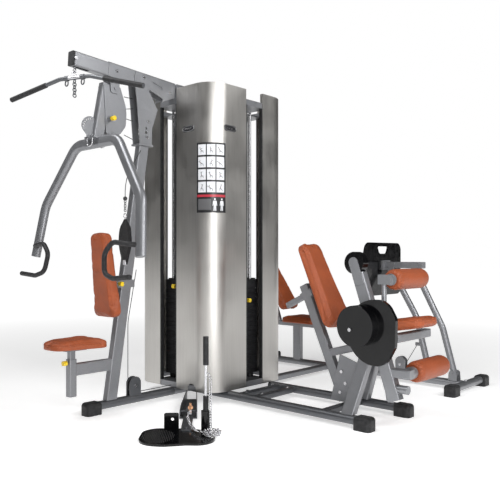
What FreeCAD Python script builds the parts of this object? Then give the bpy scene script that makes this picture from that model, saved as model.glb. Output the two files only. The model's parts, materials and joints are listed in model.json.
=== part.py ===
import FreeCAD, Part
import Sketcher

import math
import os
import re

# Multi station gym: a four-stack tower with a press and lat station towards -Y, a low row station at the
# front corner, a leg extension station towards +X and a leg press station on the +Y side.
# Millimetres, +Z up, origin on the floor under the middle of the tower.

Vec = FreeCAD.Vector
X_AXIS, Y_AXIS, Z_AXIS = Vec(1, 0, 0), Vec(0, 1, 0), Vec(0, 0, 1)
WORD = re.compile(r"[a-z]+(?:_[a-z]+)+")

DIMENSIONS = {
    # tower
    "tower_half": 395, "cover_corner": 145, "cover_sheet": 3, "cover_low": 75, "cover_tall": 2093,
    "cover_lip": 24, "wide_wing": 345, "narrow_wing": 270, "trim_wide": 10, "trim_deep": 26,
    "trim_low": 115, "trim_tall": 1944,
    "ring_side": 40, "crown_low": 2060, "post_offset": 330, "shelf_wide": 260, "shelf_thick": 10,
    "floor_pad": 60, "crown_block": 100,
    # weight stacks
    "stack_offset": 270, "stack_shift": 38, "plate_wide": 230, "plate_deep": 105, "plate_thick": 32,
    "plate_pitch": 34, "plate_corner": 10, "plate_count": 19, "stack_low": 152, "rod_radius": 9,
    "rod_spread": 88, "rod_hole": 10, "stem_radius": 11, "stem_hole": 13, "stem_above": 60,
    "bumper_radius": 24, "pin_radius": 4.45, "pin_hole": 4.5, "pin_depth": 40, "pin_knob": 15,
    # tube stock
    "tube_wall": 3, "tube_corner": 8, "base_wide": 64, "base_deep": 52, "base_low": 22, "base_round": 24,
    "upright_wide": 50, "upright_deep": 80, "boom_wide": 60, "boom_deep": 90, "jacket_wide": 66,
    "jacket_deep": 96, "carrier_wide": 40, "carrier_deep": 76,
    "sleeve_side": 50, "hanger_wide": 50, "hanger_deep": 76, "swing_wide": 56,
    "swing_deep": 76, "link_side": 50, "post_side": 38, "cap_extra": 12, "cap_long": 100,
    # press and lat station
    "gusset_gap": 66, "sheet_thick": 6, "lug_gap": 68, "pivot_pin": 10, "pivot_hole": 10.05,
    "arm_wide": 46, "arm_deep": 72, "grip_radius": 15, "bar_radius": 12.5, "bar_grip": 16,
    "row_radius": 8,
    "pad_thick": 62, "seat_thick": 52, "pad_corner": 14, "strap_thick": 16,
    # rollers, pulleys, cables
    "roller_radius": 64, "roller_long": 380, "roller_bore": 16.05, "axle_radius": 16,
    "pulley_radius": 44, "small_wheel": 34, "pulley_wide": 20, "pulley_bore": 6.05,
    "pulley_pin": 6, "cable_radius": 2.5,
    # leg station
    "holder_radius": 27, "holder_bore": 16.08,
    "knee_web": 34, "disc_radius": 183, "disc_thick": 26, "hub_radius": 116, "hub_thick": 62, "weight_radius": 64,
    "stem_collar": 34, "bush_radius": 25, "pivot_loose": 7, "foot_plate_thick": 14, "cap_tall": 80,
    "placard_tall": 472, "pin_reach": 5.6,
}

doc = FreeCAD.newDocument("multi_gym")
sheet = doc.addObject("Spreadsheet::Sheet", "sizes")
nodes = []


def fill_sheet():
    for row, (alias, number) in enumerate(DIMENSIONS.items(), 1):
        sheet.set(f"A{row}", alias)
        sheet.set(f"B{row}", str(number))
        sheet.setAlias(f"B{row}", alias)
    doc.recompute()


def size(alias):
    return float(sheet.get(alias))


def bind(thing, **links):
    """Bind properties to expressions over the sheet's aliases."""
    for name, text in links.items():
        thing.setExpression(name, WORD.sub(lambda word: "sizes." + word.group(), text))


def node(thing):
    """Keep a finished object: its label is its node's name."""
    thing.Label = thing.Name
    nodes.append(thing)
    return thing


def frame_of(origin, along, side=X_AXIS):
    """A placement with Z along a direction and X as near to side as it can be."""
    along = Vec(along).normalize()
    side = Vec(side) if abs(along.dot(Vec(side))) < 0.95 * Vec(side).Length else Y_AXIS
    across = along.cross(side).normalize()
    return FreeCAD.Placement(Vec(origin), FreeCAD.Rotation(across.cross(along), across, along, "ZXY"))


def upright_plane(x, y, z):
    """A sketch plane facing +X: its X runs along +Y and its Y along +Z."""
    return FreeCAD.Placement(Vec(x, y, z), FreeCAD.Rotation(Y_AXIS, Z_AXIS, X_AXIS, "ZXY"))


def side_plane(x, y, z):
    """A sketch plane facing -Y: its X runs along +X and its Y along +Z."""
    return FreeCAD.Placement(Vec(x, y, z), FreeCAD.Rotation(X_AXIS, Z_AXIS, -Y_AXIS, "ZXY"))


# ---- building blocks ----

def box(name, corner, length, wide, tall):
    """A block from its lowest corner; its three sizes are expressions or numbers."""
    block = doc.addObject("Part::Box", name)
    for side, value in zip(("Length", "Width", "Height"), (length, wide, tall)):
        if isinstance(value, str):
            bind(block, **{side: value})
        else:
            setattr(block, side, value)
    block.Placement.Base = Vec(*corner)
    return block


def rod(name, start, end, radius):
    start, end = Vec(*start), Vec(*end)
    shaft = doc.addObject("Part::Cylinder", name)
    bind(shaft, Radius=radius)
    shaft.Height = (end - start).Length
    shaft.Placement = frame_of(start, end - start)
    return shaft


def fuse(name, shapes):
    joined = doc.addObject("Part::MultiFuse", name)
    joined.Shapes = shapes
    joined.Refine = True
    return joined


def group(name, shapes):
    gathered = doc.addObject("Part::Compound", name)
    gathered.Links = shapes
    return gathered


def cut(name, base, tools):
    rest = doc.addObject("Part::Cut", name)
    rest.Base = base
    rest.Tool = tools[0] if len(tools) == 1 else fuse(name + "_tools", tools)
    return rest


def rounded_path(corners, closed=False):
    """Straight runs joined by tangent arcs; each corner is (point, radius)."""
    count = len(corners)
    pieces, last = [], None
    for here, (point, radius) in enumerate(corners):
        if radius == 0:
            leave = arrive = point
        else:
            back = (corners[here - 1][0] - point).normalize()
            ahead = (corners[(here + 1) % count][0] - point).normalize()
            middle = (back + ahead).normalize()
            half_turn = math.acos(max(-1.0, min(1.0, back.dot(ahead)))) / 2
            trim = radius / math.tan(half_turn)
            arrive, leave = point + back * trim, point + ahead * trim
            crown = point + middle * (radius / math.sin(half_turn) - radius)
        if last is not None and (arrive - last).Length > 1e-6:
            pieces.append(Part.LineSegment(last, arrive))
        if here == 0:
            first = arrive
        if radius:
            pieces.append(Part.Arc(arrive, crown, leave))
        last = leave
    if closed and (first - last).Length > 1e-6:
        pieces.append(Part.LineSegment(last, first))
    return pieces


def flat(points):
    """Corners of a flat outline, from (x, y) or (x, y, radius)."""
    return [(Vec(point[0], point[1]), point[2] if len(point) > 2 else 0) for point in points]


def new_sketch(name):
    body = doc.addObject("PartDesign::Body", name)
    sketch = body.newObject("Sketcher::SketchObject", name + "_section")
    plane = next(item for item in body.Origin.OriginFeatures if item.Role == "XY_Plane")
    sketch.AttachmentSupport = (plane, [""])
    sketch.MapMode = "FlatFace"
    return body, sketch


def pad_sketch(body, sketch, length, place, middle=False):
    """Pad a sketch by an expression or a number and put the body in its place."""
    feature = body.newObject("PartDesign::Pad", body.Name + "_pad")
    feature.Profile = sketch
    feature.Midplane = middle
    if isinstance(length, str):
        bind(feature, Length=length)
    else:
        feature.Length = length
    body.Placement = place
    return body


def constrain_rectangle(sketch, wide, deep, corner, inset=None):
    """Add a fully constrained rounded rectangle about the sketch's origin, inset by a wall."""
    less = size(inset) if inset else 0
    flat_w, flat_d = size(wide) / 2 - size(corner), size(deep) / 2 - size(corner)
    radius = size(corner) - less
    half_w, half_d = flat_w + radius, flat_d + radius
    lines = [Part.LineSegment(Vec(-flat_w, -half_d), Vec(flat_w, -half_d)),
             Part.LineSegment(Vec(half_w, -flat_d), Vec(half_w, flat_d)),
             Part.LineSegment(Vec(flat_w, half_d), Vec(-flat_w, half_d)),
             Part.LineSegment(Vec(-half_w, flat_d), Vec(-half_w, -flat_d))]
    centres = ((3, flat_w, -flat_d), (0, flat_w, flat_d), (1, -flat_w, flat_d), (2, -flat_w, -flat_d))
    arcs = [Part.ArcOfCircle(Part.Circle(Vec(x, y), Z_AXIS, radius), quarter * math.pi / 2,
                             (quarter + 1) * math.pi / 2) for quarter, x, y in centres]
    first = sketch.GeometryCount
    sketch.addGeometry(lines + arcs)
    rule = Sketcher.Constraint
    for side in range(4):
        sketch.addConstraint(rule("Tangent", first + side, 2, first + 4 + side, 1))
        sketch.addConstraint(rule("Tangent", first + 4 + side, 2, first + (side + 1) % 4, 1))
        sketch.addConstraint(rule("Vertical" if side % 2 else "Horizontal", first + side))
    for side in range(3):
        sketch.addConstraint(rule("Equal", first + 4 + side, first + 5 + side))
    sketch.addConstraint(rule("Symmetric", first + 4, 3, first + 6, 3, -1, 1))
    round_at = sketch.addConstraint(rule("Radius", first + 4, radius))
    across = sketch.addConstraint(rule("DistanceX", first + 7, 3, first + 4, 3, 2 * flat_w))
    upwards = sketch.addConstraint(rule("DistanceY", first + 4, 3, first + 5, 3, 2 * flat_d))
    wall = f" - {inset}" if inset else ""
    bind(sketch, **{f"Constraints[{round_at}]": corner + wall,
                    f"Constraints[{across}]": f"{wide} - 2 * {corner}",
                    f"Constraints[{upwards}]": f"{deep} - 2 * {corner}"})


def tube(name, start, end, wide, deep, side=X_AXIS, corner="tube_corner", wall="tube_wall"):
    """A straight rounded rectangular tube: wide along side, deep across it."""
    start, end = Vec(*start), Vec(*end)
    body, sketch = new_sketch(name)
    constrain_rectangle(sketch, wide, deep, corner)
    if wall:
        constrain_rectangle(sketch, wide, deep, corner, wall)
    return pad_sketch(body, sketch, (end - start).Length, frame_of(start, end - start, side))


def plate(name, outline, thick, place, holes=(), middle=True):
    """A flat plate from an outline with rounded corners, and round holes (x, y, radius)."""
    body, sketch = new_sketch(name)
    sketch.addGeometry(rounded_path(flat(outline), closed=True))
    for x, y, radius in holes:
        sketch.addGeometry(Part.Circle(Vec(x, y), Z_AXIS, radius))
    return pad_sketch(body, sketch, thick, place, middle)


def spine(name, corners):
    """The path of a bent piece, from (x, y, z, radius) corners."""
    path = doc.addObject("Part::Feature", name)
    runs = rounded_path([(Vec(*corner[:3]), corner[3]) for corner in corners])
    path.Shape = Part.Wire([run.toShape() for run in runs])
    return path


def sweep(name, section, path):
    swept = doc.addObject("Part::Sweep", name)
    swept.Sections = [section]
    swept.Spine = (path, [f"Edge{here + 1}" for here in range(len(path.Shape.Edges))])
    swept.Solid = True
    swept.Frenet = False
    return swept


def bent_rod(name, corners, radius):
    """A round bar or tube that follows straight runs and arcs."""
    path = spine(name + "_path", corners)
    start, ahead = Vec(*corners[0][:3]), Vec(*corners[1][:3])
    ring = doc.addObject("Part::Circle", name + "_ring")
    bind(ring, Radius=radius)
    ring.Placement = frame_of(start, ahead - start)
    return sweep(name, ring, path)


# ---- tower ----

def turned(degrees):
    return FreeCAD.Placement(Vec(), FreeCAD.Rotation(Z_AXIS, degrees))


def cover(name, wing, degrees):
    """One sheet corner of the tower with inward lips, drawn for the +X -Y corner and turned."""
    half, radius, sheet_thick = size("tower_half"), size("cover_corner"), size("cover_sheet")
    reach, lip, inner = half - size(wing), size("cover_lip"), half - size("cover_sheet")
    outline = [(reach, -half), (half, -half, radius), (half, -reach), (half - lip, -reach),
               (half - lip, -reach - sheet_thick), (inner, -reach - sheet_thick),
               (inner, -inner, radius - sheet_thick), (reach + sheet_thick, -inner),
               (reach + sheet_thick, lip - half), (reach, lip - half)]
    place = turned(degrees)
    place.Base.z = size("cover_low")
    return plate(name, outline, "cover_tall", place, middle=False)


def cover_edges():
    """Each face's turn, and where its left and right covers end, as x seen from outside."""
    half, narrow, broad = size("tower_half"), size("narrow_wing"), size("wide_wing")
    edges = []
    for face, degrees in enumerate((0, 90, 180, 270)):
        left, right = (narrow, broad) if face % 2 == 0 else (broad, narrow)
        edges.append((degrees, left - half, half - right))
    return edges


def row_mouth():
    """The arch through the front cover that the row channel comes out of."""
    half_wide, crown = 41, 124
    middle = row_line(0)
    outline = [(-half_wide, 0), (half_wide, 0), (half_wide, crown, half_wide - 1),
               (-half_wide, crown, half_wide - 1)]
    place = side_plane(middle.x, -size("tower_half"), 0)
    return plate("row_mouth", outline, 80, place)


def make_covers():
    node(cut("cover_front", cover("cover_front_sheet", "wide_wing", 0), [row_mouth()]))
    node(cover("cover_rear", "wide_wing", 180))
    sides = [cover("cover_right", "narrow_wing", 90), cover("cover_left", "narrow_wing", 270)]
    node(group("cover_sides", sides))


def tower_ring(name, low):
    """A square ring of tube inside the covers."""
    outer = size("tower_half") - size("cover_sheet")
    inner = outer - size("ring_side")
    block = box(name + "_block", (-outer, -outer, low), 2 * outer, 2 * outer, "ring_side")
    hollow = box(name + "_hollow", (-inner, -inner, low), 2 * inner, 2 * inner, "ring_side")
    corner = [(outer, outer, 0), (outer, -outer, 0), (-outer, -outer, 0), (-outer, outer, 0)]
    radius = size("cover_corner") - size("cover_sheet")
    profile = plate(name + "_round", [(x, y, radius) for x, y, _ in corner], "ring_side",
                    FreeCAD.Placement(Vec(0, 0, low), FreeCAD.Rotation()), middle=False)
    shell = doc.addObject("Part::MultiCommon", name + "_shell")
    shell.Shapes = [block, profile]
    notches = []
    for degrees, left, right in cover_edges():
        for side, x in (("left", left - 4), ("right", right - 1)):
            notch = box(f"{name}_notch_{degrees}_{side}", (0, 0, 0), 5, size("cover_lip") + 1, "ring_side")
            at = faced(degrees, x, -size("tower_half"))
            notch.Placement = FreeCAD.Placement(Vec(at.x, at.y, low), FreeCAD.Rotation(Z_AXIS, degrees))
            notches.append(notch)
    return cut(name, shell, [hollow] + notches)


def faced(degrees, x, y):
    """A point beside the -Y face, turned with that face round the tower."""
    return FreeCAD.Rotation(Z_AXIS, degrees).multVec(Vec(x, y, 0))


def stack_places():
    """Each stack: name, turn of its face, sideways shift and how many plates its pin lifts."""
    shift = size("stack_shift")
    return [("press", 0, -shift, 1), ("leg", 90, shift, 4), ("legpress", 180, -shift, 6),
            ("row", 270, shift, 3)]


def make_tower_frame():
    ring_low = size("base_low") + size("base_deep")
    inner = size("tower_half") - size("cover_sheet") - size("ring_side")
    thick, offset = size("shelf_thick"), size("stack_offset")
    pieces = [tower_ring("lower_ring", ring_low), tower_ring("crown_ring", size("crown_low"))]
    post = size("post_offset") - size("ring_side") / 2
    tall = size("crown_low") - ring_low - size("ring_side")
    for corner_x in (-1, 1):
        for corner_y in (-1, 1):
            low = (corner_x * size("post_offset") - 20, corner_y * size("post_offset") - 20, ring_low + 40)
            pieces.append(box(f"post_{corner_x + 1}_{corner_y + 1}", low, "ring_side", "ring_side", tall))
    half_shelf = size("shelf_wide") / 2
    for label, degrees, shift, _ in stack_places():
        for level, low in (("low", ring_low + size("ring_side") - thick), ("high", size("crown_low"))):
            shelf = box(f"{label}_shelf_{level}", (0, 0, 0), "shelf_wide", inner - offset + 65, "shelf_thick")
            base = faced(degrees, shift - half_shelf, -inner)
            shelf.Placement = FreeCAD.Placement(Vec(base.x, base.y, low), FreeCAD.Rotation(Z_AXIS, degrees))
            pieces.append(shelf)
    outer = size("tower_half") - size("cover_sheet")
    middle = size("base_low") + size("base_deep") / 2
    pieces.append(tube("tower_spine", (0, -outer, middle), (0, outer, middle), "base_wide", "base_deep",
                       corner="base_round", wall=None))
    block = size("crown_block")
    pieces.append(box("boom_block", (-block / 2, -outer, size("crown_low") + 40), "crown_block", 140, 96))
    node(fuse("tower_frame", pieces))


def make_guide_rods():
    low = size("base_low") + size("base_deep") + size("ring_side")
    high, offset, spread = size("crown_low"), size("stack_offset"), size("rod_spread")
    rods = []
    for label, degrees, shift, _ in stack_places():
        for side in (-1, 1):
            at = faced(degrees, shift + side * spread, -offset)
            rods.append(rod(f"{label}_rod_{side + 1}", (at.x, at.y, low), (at.x, at.y, high), "rod_radius"))
    node(group("guide_rods", rods))


def weight_plate(name, count, low, degrees, shift, tall="plate_thick", stem="stem_hole"):
    """A run of equal plates with guide and stem holes, one above another."""
    spread, half_w, half_d = size("rod_spread"), size("plate_wide") / 2, size("plate_deep") / 2
    corner = size("plate_corner")
    outline = [(x * half_w, y * half_d, corner) for x, y in ((-1, -1), (1, -1), (1, 1), (-1, 1))]
    holes = [(-spread, 0, size("rod_hole")), (spread, 0, size("rod_hole"))]
    if stem:
        holes.append((0, 0, size(stem)))
    at = faced(degrees, shift, -size("stack_offset"))
    place = FreeCAD.Placement(Vec(at.x, at.y, low), FreeCAD.Rotation(Z_AXIS, degrees))
    blank = plate(name, outline, tall, place, holes, middle=False)
    if count == 1:
        return [blank]
    doc.recompute()
    stack = doc.addObject("Part::Feature", name + "_run")
    step = size("plate_pitch")
    stack.Shape = Part.makeCompound([blank.Shape.translated(Vec(0, 0, step * here)) for here in range(count)])
    return [stack]


def make_stacks():
    resting = []
    low, pitch, total = size("stack_low"), size("plate_pitch"), int(size("plate_count"))
    offset, shelf = size("stack_offset"), size("base_low") + size("base_deep") + size("ring_side")
    for label, degrees, shift, lifted in stack_places():
        resting += weight_plate(f"{label}_rest", total - lifted, low, degrees, shift)
        for side in (-1, 1):
            at = faced(degrees, shift + side * size("rod_spread"), -offset)
            ends = [(at.x, at.y, shelf), (at.x, at.y, low)]
            bumper = rod(f"{label}_bumper_{side + 1}", *ends, "bumper_radius")
            resting.append(cut(f"{label}_bumper_ring_{side + 1}", bumper,
                               [rod(f"{label}_bore_{side + 1}", *ends, "rod_hole")]))
        seam = low + pitch * (total - lifted)
        head = low + pitch * total
        middle = faced(degrees, shift, -offset)
        plates = weight_plate(f"{label}_lift", lifted, seam, degrees, shift, stem=None)
        plates += weight_plate(f"{label}_head", 1, head - 2, degrees, shift, stem=None)
        stem = rod(f"{label}_stem", (middle.x, middle.y, shelf + 12),
                   (middle.x, middle.y, head + size("plate_thick") + size("stem_above")), "stem_radius")
        links = [box(f"{label}_link_{side + 1}", (0, 0, 0), 20, 20, head - seam + 4) for side in (-1, 1)]
        for side, link in zip((-1, 1), links):
            at = faced(degrees, shift + side * 45 - 10, -offset - 10)
            link.Placement = FreeCAD.Placement(Vec(at.x, at.y, seam), FreeCAD.Rotation(Z_AXIS, degrees))
        face = offset + size("plate_deep") / 2
        knob_z = seam + size("plate_thick") / 2
        outer = faced(degrees, shift, -face)
        inner = faced(degrees, shift, size("pin_depth") - face)
        bore = rod(f"{label}_pin_bore", (outer.x, outer.y, knob_z), (inner.x, inner.y, knob_z), "pin_hole")
        node(cut(f"{label}_stack", fuse(f"{label}_lifted", plates + [stem] + links), [bore]))
        start = faced(degrees, shift, 1 + size("pin_depth") - face - 3)
        collar = faced(degrees, shift, -face - 6)
        knob = faced(degrees, shift, -face - 30)
        node(fuse(f"{label}_pin", [
            rod(f"{label}_pin_shank", (start.x, start.y, knob_z), (collar.x, collar.y, knob_z), "pin_radius"),
            rod(f"{label}_pin_knob", (collar.x, collar.y, knob_z), (knob.x, knob.y, knob_z), "pin_knob")]))
    node(group("resting_plates", resting))


def make_trims():
    """Edging strips down both sides of every gap, outside the cover lips."""
    half, deep, wide = size("tower_half"), size("trim_deep"), size("trim_wide")
    strips = []
    for degrees, left, right in cover_edges():
        for side, x in (("left", left), ("right", right - wide)):
            strip = box(f"strip_{degrees}_{side}", (0, 0, 0), "trim_wide", "trim_deep", "trim_tall")
            at = faced(degrees, x, -half)
            turn = FreeCAD.Rotation(Z_AXIS, degrees)
            strip.Placement = FreeCAD.Placement(Vec(at.x, at.y, size("trim_low")), turn)
            strips.append(strip)
    return strips


# ---- press and lat station, in the x = 0 plane towards -Y ----

POST_FOOT, POST_HEAD = Vec(0, -920, 60), Vec(0, -655, 1745)
BOOM_ROOT, BOOM_TIP = Vec(0, -392, 2156), Vec(0, -1193, 2203)
BOOM_SEAM_Y = -950
LEVER_PIVOT = Vec(0, -905, 2070)
LAT_HANG = Vec(0, -1178, 2104)
BOOM_WHEEL_Y = LAT_HANG.y + 32
SEAT_POST_Y = -1201
BACK_ADJUST_Z = 815


def post_y(z):
    """Where the leaning upright's centre line is at a height."""
    share = (z - POST_FOOT.z) / (POST_HEAD.z - POST_FOOT.z)
    return POST_FOOT.y + share * (POST_HEAD.y - POST_FOOT.y)


def boom_z(y):
    share = (y - BOOM_ROOT.y) / (BOOM_TIP.y - BOOM_ROOT.y)
    return BOOM_ROOT.z + share * (BOOM_TIP.z - BOOM_ROOT.z)


def make_press_base():
    middle = size("base_low") + size("base_deep") / 2
    top = size("base_low") + size("base_deep")
    outer = size("tower_half") - size("cover_sheet")
    rail = tube("press_rail", (0, -outer, middle), (0, -1100, middle), "base_wide", "base_deep",
                corner="base_round", wall=None)
    cheeks = []
    outline = [(-46, -8), (46, -8), (46, 122, 44), (-46, 122, 44)]
    for side in (-1, 1):
        cheeks.append(plate(f"low_cheek_{side + 1}", outline, "sheet_thick",
                            upright_plane(side * 17, -728, top)))
    axle = rod("low_pulley_axle", (-20, -728, top + 62), (20, -728, top + 62), "pulley_pin")
    return fuse("press_base_tube", [rail, axle] + cheeks)


def make_press_upright():
    """The leaning upright with the seat's carrier arm, its sleeve and the back pad's guide."""
    post = tube("post_tube", POST_FOOT, POST_HEAD, "upright_wide", "upright_deep", wall=None)
    carrier_z = 300
    carrier = tube("seat_carrier", (0, post_y(carrier_z), carrier_z), (0, SEAT_POST_Y + 20, carrier_z),
                   "carrier_wide", "carrier_deep", wall=None, corner="plate_corner")
    sleeve = tube("seat_sleeve", (0, SEAT_POST_Y, 138), (0, SEAT_POST_Y, 366), "sleeve_side",
                  "sleeve_side", wall=None)
    bore = tube("seat_bore", (0, SEAT_POST_Y, 152), (0, SEAT_POST_Y, 380), "post_side", "post_side",
                corner="pulley_pin", wall=None)
    guide_y = post_y(BACK_ADJUST_Z)
    guide = tube("back_guide", (0, guide_y + 62, BACK_ADJUST_Z), (0, guide_y - 75, BACK_ADJUST_Z),
                 "sleeve_side", "sleeve_side", wall=None)
    guide_bore = tube("back_guide_bore", (0, guide_y + 70, BACK_ADJUST_Z), (0, guide_y - 85, BACK_ADJUST_Z),
                      "post_side", "post_side", corner="pulley_pin", wall=None)
    holes = [bore, guide_bore,
             rod("seat_pin_bore", (0, SEAT_POST_Y - 40, 345), (0, SEAT_POST_Y, 345), "pin_hole"),
             rod("back_pin_bore", (0, guide_y - 60, BACK_ADJUST_Z), (60, guide_y - 60, BACK_ADJUST_Z),
                 "pin_hole")]
    foot = box("post_foot_trim", (-100, -1100, -60), 200, 400, 60 + size("base_low") + size("base_deep"))
    clamp = box("post_clamp", (-43, POST_HEAD.y - 58, POST_HEAD.z - 12), 86, 116, 12)
    node(cut("press_upright", fuse("upright_welded", [post, carrier, sleeve, guide, clamp]), holes + [foot]))


def make_boom():
    boom = tube("boom_tube", BOOM_ROOT + Vec(0, 40, -2), BOOM_TIP, "boom_wide", "boom_deep")
    outer = size("tower_half") - size("cover_sheet")
    root_cut = box("boom_root_cut", (-100, -outer, 2000), 200, 200, 400)
    slot = box("boom_slot", (-14, LAT_HANG.y - 12, 2140), 28, 110, 40)
    ears = [plate(f"lever_ear_{side + 1}", [(-34, 0, 20), (34, 0, 20), (34, 96), (-34, 104)], "sheet_thick",
                  upright_plane(side * (size("lug_gap") / 2 + 3), LEVER_PIVOT.y, LEVER_PIVOT.z - 32),
                  [(0, 32, size("pivot_hole"))]) for side in (-1, 1)]
    seam = Vec(0, BOOM_SEAM_Y, boom_z(BOOM_SEAM_Y))
    jacket = tube("boom_jacket", BOOM_ROOT + Vec(0, 40, -2), seam, "jacket_wide", "jacket_deep")
    wheel = Vec(0, BOOM_WHEEL_Y, boom_z(BOOM_WHEEL_Y))
    axle = rod("boom_pulley_axle", wheel - X_AXIS * 30, wheel + X_AXIS * 30, "pulley_pin")
    hollow = cut("boom_hollow", fuse("boom_tubes", [boom, jacket] + ears), [root_cut, slot])
    node(fuse("top_boom", [hollow, axle]))


def make_gussets():
    """A pair of laser-cut plates that tie the boom to the upright's head."""
    y0, z0 = POST_HEAD.y, POST_HEAD.z
    outline = [(-50, 0), (50, 0), (52, 110, 60), (120, 300, 120), (250, 352), (262, 448), (-78, 470),
               (-96, 440), (-72, 250, 300)]
    window = [(18, 375, 8), (150, 330, 8), (104, 235, 14)]
    slot = [(60, 428, 5), (142, 404, 5), (142, 388, 5), (60, 412, 5)]
    plates = []
    for side in (-1, 1):
        place = upright_plane(side * (size("gusset_gap") / 2 + 3.01), y0, z0)
        body = plate(f"gusset_blank_{side + 1}", outline, "sheet_thick", place,
                     [(4, 44, 7), (14, 150, 7), (-22, 440, 6), (200, 380, 6), (2, 78, 9), (0, 106, 9)])
        opening = [plate(f"gusset_window_{side + 1}", window, 30, place),
                   plate(f"gusset_slot_{side + 1}", slot, 30, place)]
        plates.append(cut(f"gusset_{side + 1}", body, opening))
    node(group("gusset_plates", plates))


def arm_section(origin, along):
    """The flat-oval section of the press arm's bowed tube."""
    wide, deep = size("arm_wide") / 2, size("arm_deep") / 2
    section = doc.addObject("Part::Feature", "arm_section")
    corners = [(x * wide, y * deep, wide - 0.5) for x, y in ((-1, -1), (1, -1), (1, 1), (-1, 1))]
    edges = rounded_path(flat(corners), closed=True)
    section.Shape = Part.Wire([edge.toShape() for edge in edges])
    section.Placement = frame_of(origin, along, Z_AXIS)
    return section


ARM_TOP = Vec(0, -1022, 1712)
ARM_TILT = 0.13


ARM_PIN = Vec(56, -945, 1868)


def arm_point(x, z):
    """A point of the bowed arm, which leans forward as it comes down."""
    return Vec(x, ARM_TOP.y - ARM_TILT * (ARM_TOP.z - z), z)


def make_press_arm():
    half = [arm_point(222, 1712), arm_point(516, 1333), arm_point(568, 992)]
    mirror = [Vec(-point.x, point.y, point.z) for point in reversed(half)]
    corners = [(*point, radius) for point, radius in zip(mirror + half, (0, 160, 120, 120, 160, 0))]
    path = spine("arm_path", corners)
    bow = sweep("arm_bow", arm_section(mirror[0], mirror[1] - mirror[0]), path)
    top, foot = Vec(0, -948, 2092), Vec(0, -1018, 1740)
    hanger = tube("hanger_tube", top, foot, "hanger_wide", "hanger_deep", wall=None)
    pivot = LEVER_PIVOT
    axle = rod("lever_axle", (-46, pivot.y, pivot.z), (46, pivot.y, pivot.z), "pivot_pin")
    bullet = [(-80, 12, 6), (46, 18, 10), (98, -120, 200), (90, -230, 60), (40, -294, 40), (-62, -294, 8)]
    cheeks = [plate(f"lever_cheek_{side + 1}", bullet, "sheet_thick",
                    upright_plane(side * 28, LEVER_PIVOT.y, LEVER_PIVOT.z)) for side in (-1, 1)]
    shoe = box("arm_shoe", (-52, ARM_TOP.y - 52, 1734), 104, 104, 12)
    holes = []
    for step in range(6):
        turn = math.radians(95 + 17 * step)
        holes.append((52 * math.cos(turn), 52 * math.sin(turn), 5))
    quadrant = plate("arm_quadrant", [(-20, -66), (28, -66), (28, 68, 30), (-68, 68, 66), (-68, -10, 40)],
                     "sheet_thick", upright_plane(0, -1060, 1804), holes)
    sleeve = rod("arm_pin_sleeve", ARM_PIN - X_AXIS * 34, ARM_PIN, "pin_knob")
    bore = rod("arm_pin_bore", ARM_PIN - X_AXIS * 42, ARM_PIN + X_AXIS * 4, "pin_hole")
    bolts = []
    for y in (-1070, -976):
        loop = [(28, y, 1760, 0), (28, y, 1686, 24), (-28, y, 1686, 24), (-28, y, 1760, 0)]
        bolts.append(bent_rod(f"u_bolt_{int(-y)}", loop, "pin_radius"))
    body = fuse("press_arm_welded", [hanger, axle, shoe, quadrant, sleeve] + cheeks + [bow] + bolts)
    node(cut("press_arm", body, [bore]))


def make_press_grips():
    """Black bent grips: inwards from each arm end, down, and back out."""
    grips = []
    for side in (-1, 1):
        shape = [(548, -1106, 1058, 0), (508, -1156, 1064, 24), (376, -1168, 1078, 60),
                 (306, -1176, 1012, 60), (328, -1192, 894, 60), (424, -1202, 868, 60), (588, -1208, 880, 0)]
        grips.append(bent_rod(f"grip_{side + 1}", [(side * x, y, z, radius) for x, y, z, radius in shape],
                              "grip_radius"))
    node(group("press_grips", grips))


LAT_TURN = 20.9


def lat_point(along, drop):
    """A point of the lat bar, which hangs turned a little about its hook."""
    way = FreeCAD.Rotation(Z_AXIS, LAT_TURN).multVec(Vec(along, 0, 0))
    return Vec(way.x, LAT_HANG.y + way.y, LAT_HANG.z - 14 - drop)


def make_lat_bar():
    """The wide bar with drooping ends, its grips, eye, snap hook and two hanging spare hooks."""
    corners = [(-488, 96, 0), (-110, 0, 90), (110, 0, 90), (488, 96, 0)]
    bar = bent_rod("lat_bar_rod", [(*lat_point(x, drop), radius) for x, drop, radius in corners], "bar_radius")
    hang = Vec(0, LAT_HANG.y, LAT_HANG.z)
    eye = torus("lat_eye", hang + Z_AXIS * 10, 15, 4, X_AXIS)
    hook = torus("lat_hook", hang + Z_AXIS * 29, 13, 3.5, Y_AXIS)
    shackle = rod("lat_stem", hang + Z_AXIS * 41, hang + Z_AXIS * 52, "pulley_pin")
    clips = []
    for along in (-58, 60):
        ring = rod(f"lat_collar_{along}", lat_point(along - 13, 0), lat_point(along + 13, 0), "bar_grip")
        clips += [ring, torus(f"lat_loop_{along}", lat_point(along, 30), 16, 4, Y_AXIS)]
    for step in range(6):
        axis = X_AXIS if step % 2 else Y_AXIS
        clips.append(torus(f"lat_link_{step}", lat_point(0, 24 + 17 * step), 11, 3.2, axis))
    node(fuse("lat_bar", [bar, eye, hook, shackle] + clips))
    grips = []
    for side in (-1, 1):
        ends = [lat_point(side * 212, 96 * 102 / 378), lat_point(side * 484, 96 * 374 / 378)]
        sleeve = rod(f"lat_grip_sleeve_{side + 1}", *ends, "bar_grip")
        bore = rod(f"lat_grip_bore_{side + 1}", *ends, "bar_radius")
        grips.append(cut(f"lat_grip_{side + 1}", sleeve, [bore]))
    node(group("lat_grips", grips))


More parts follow.
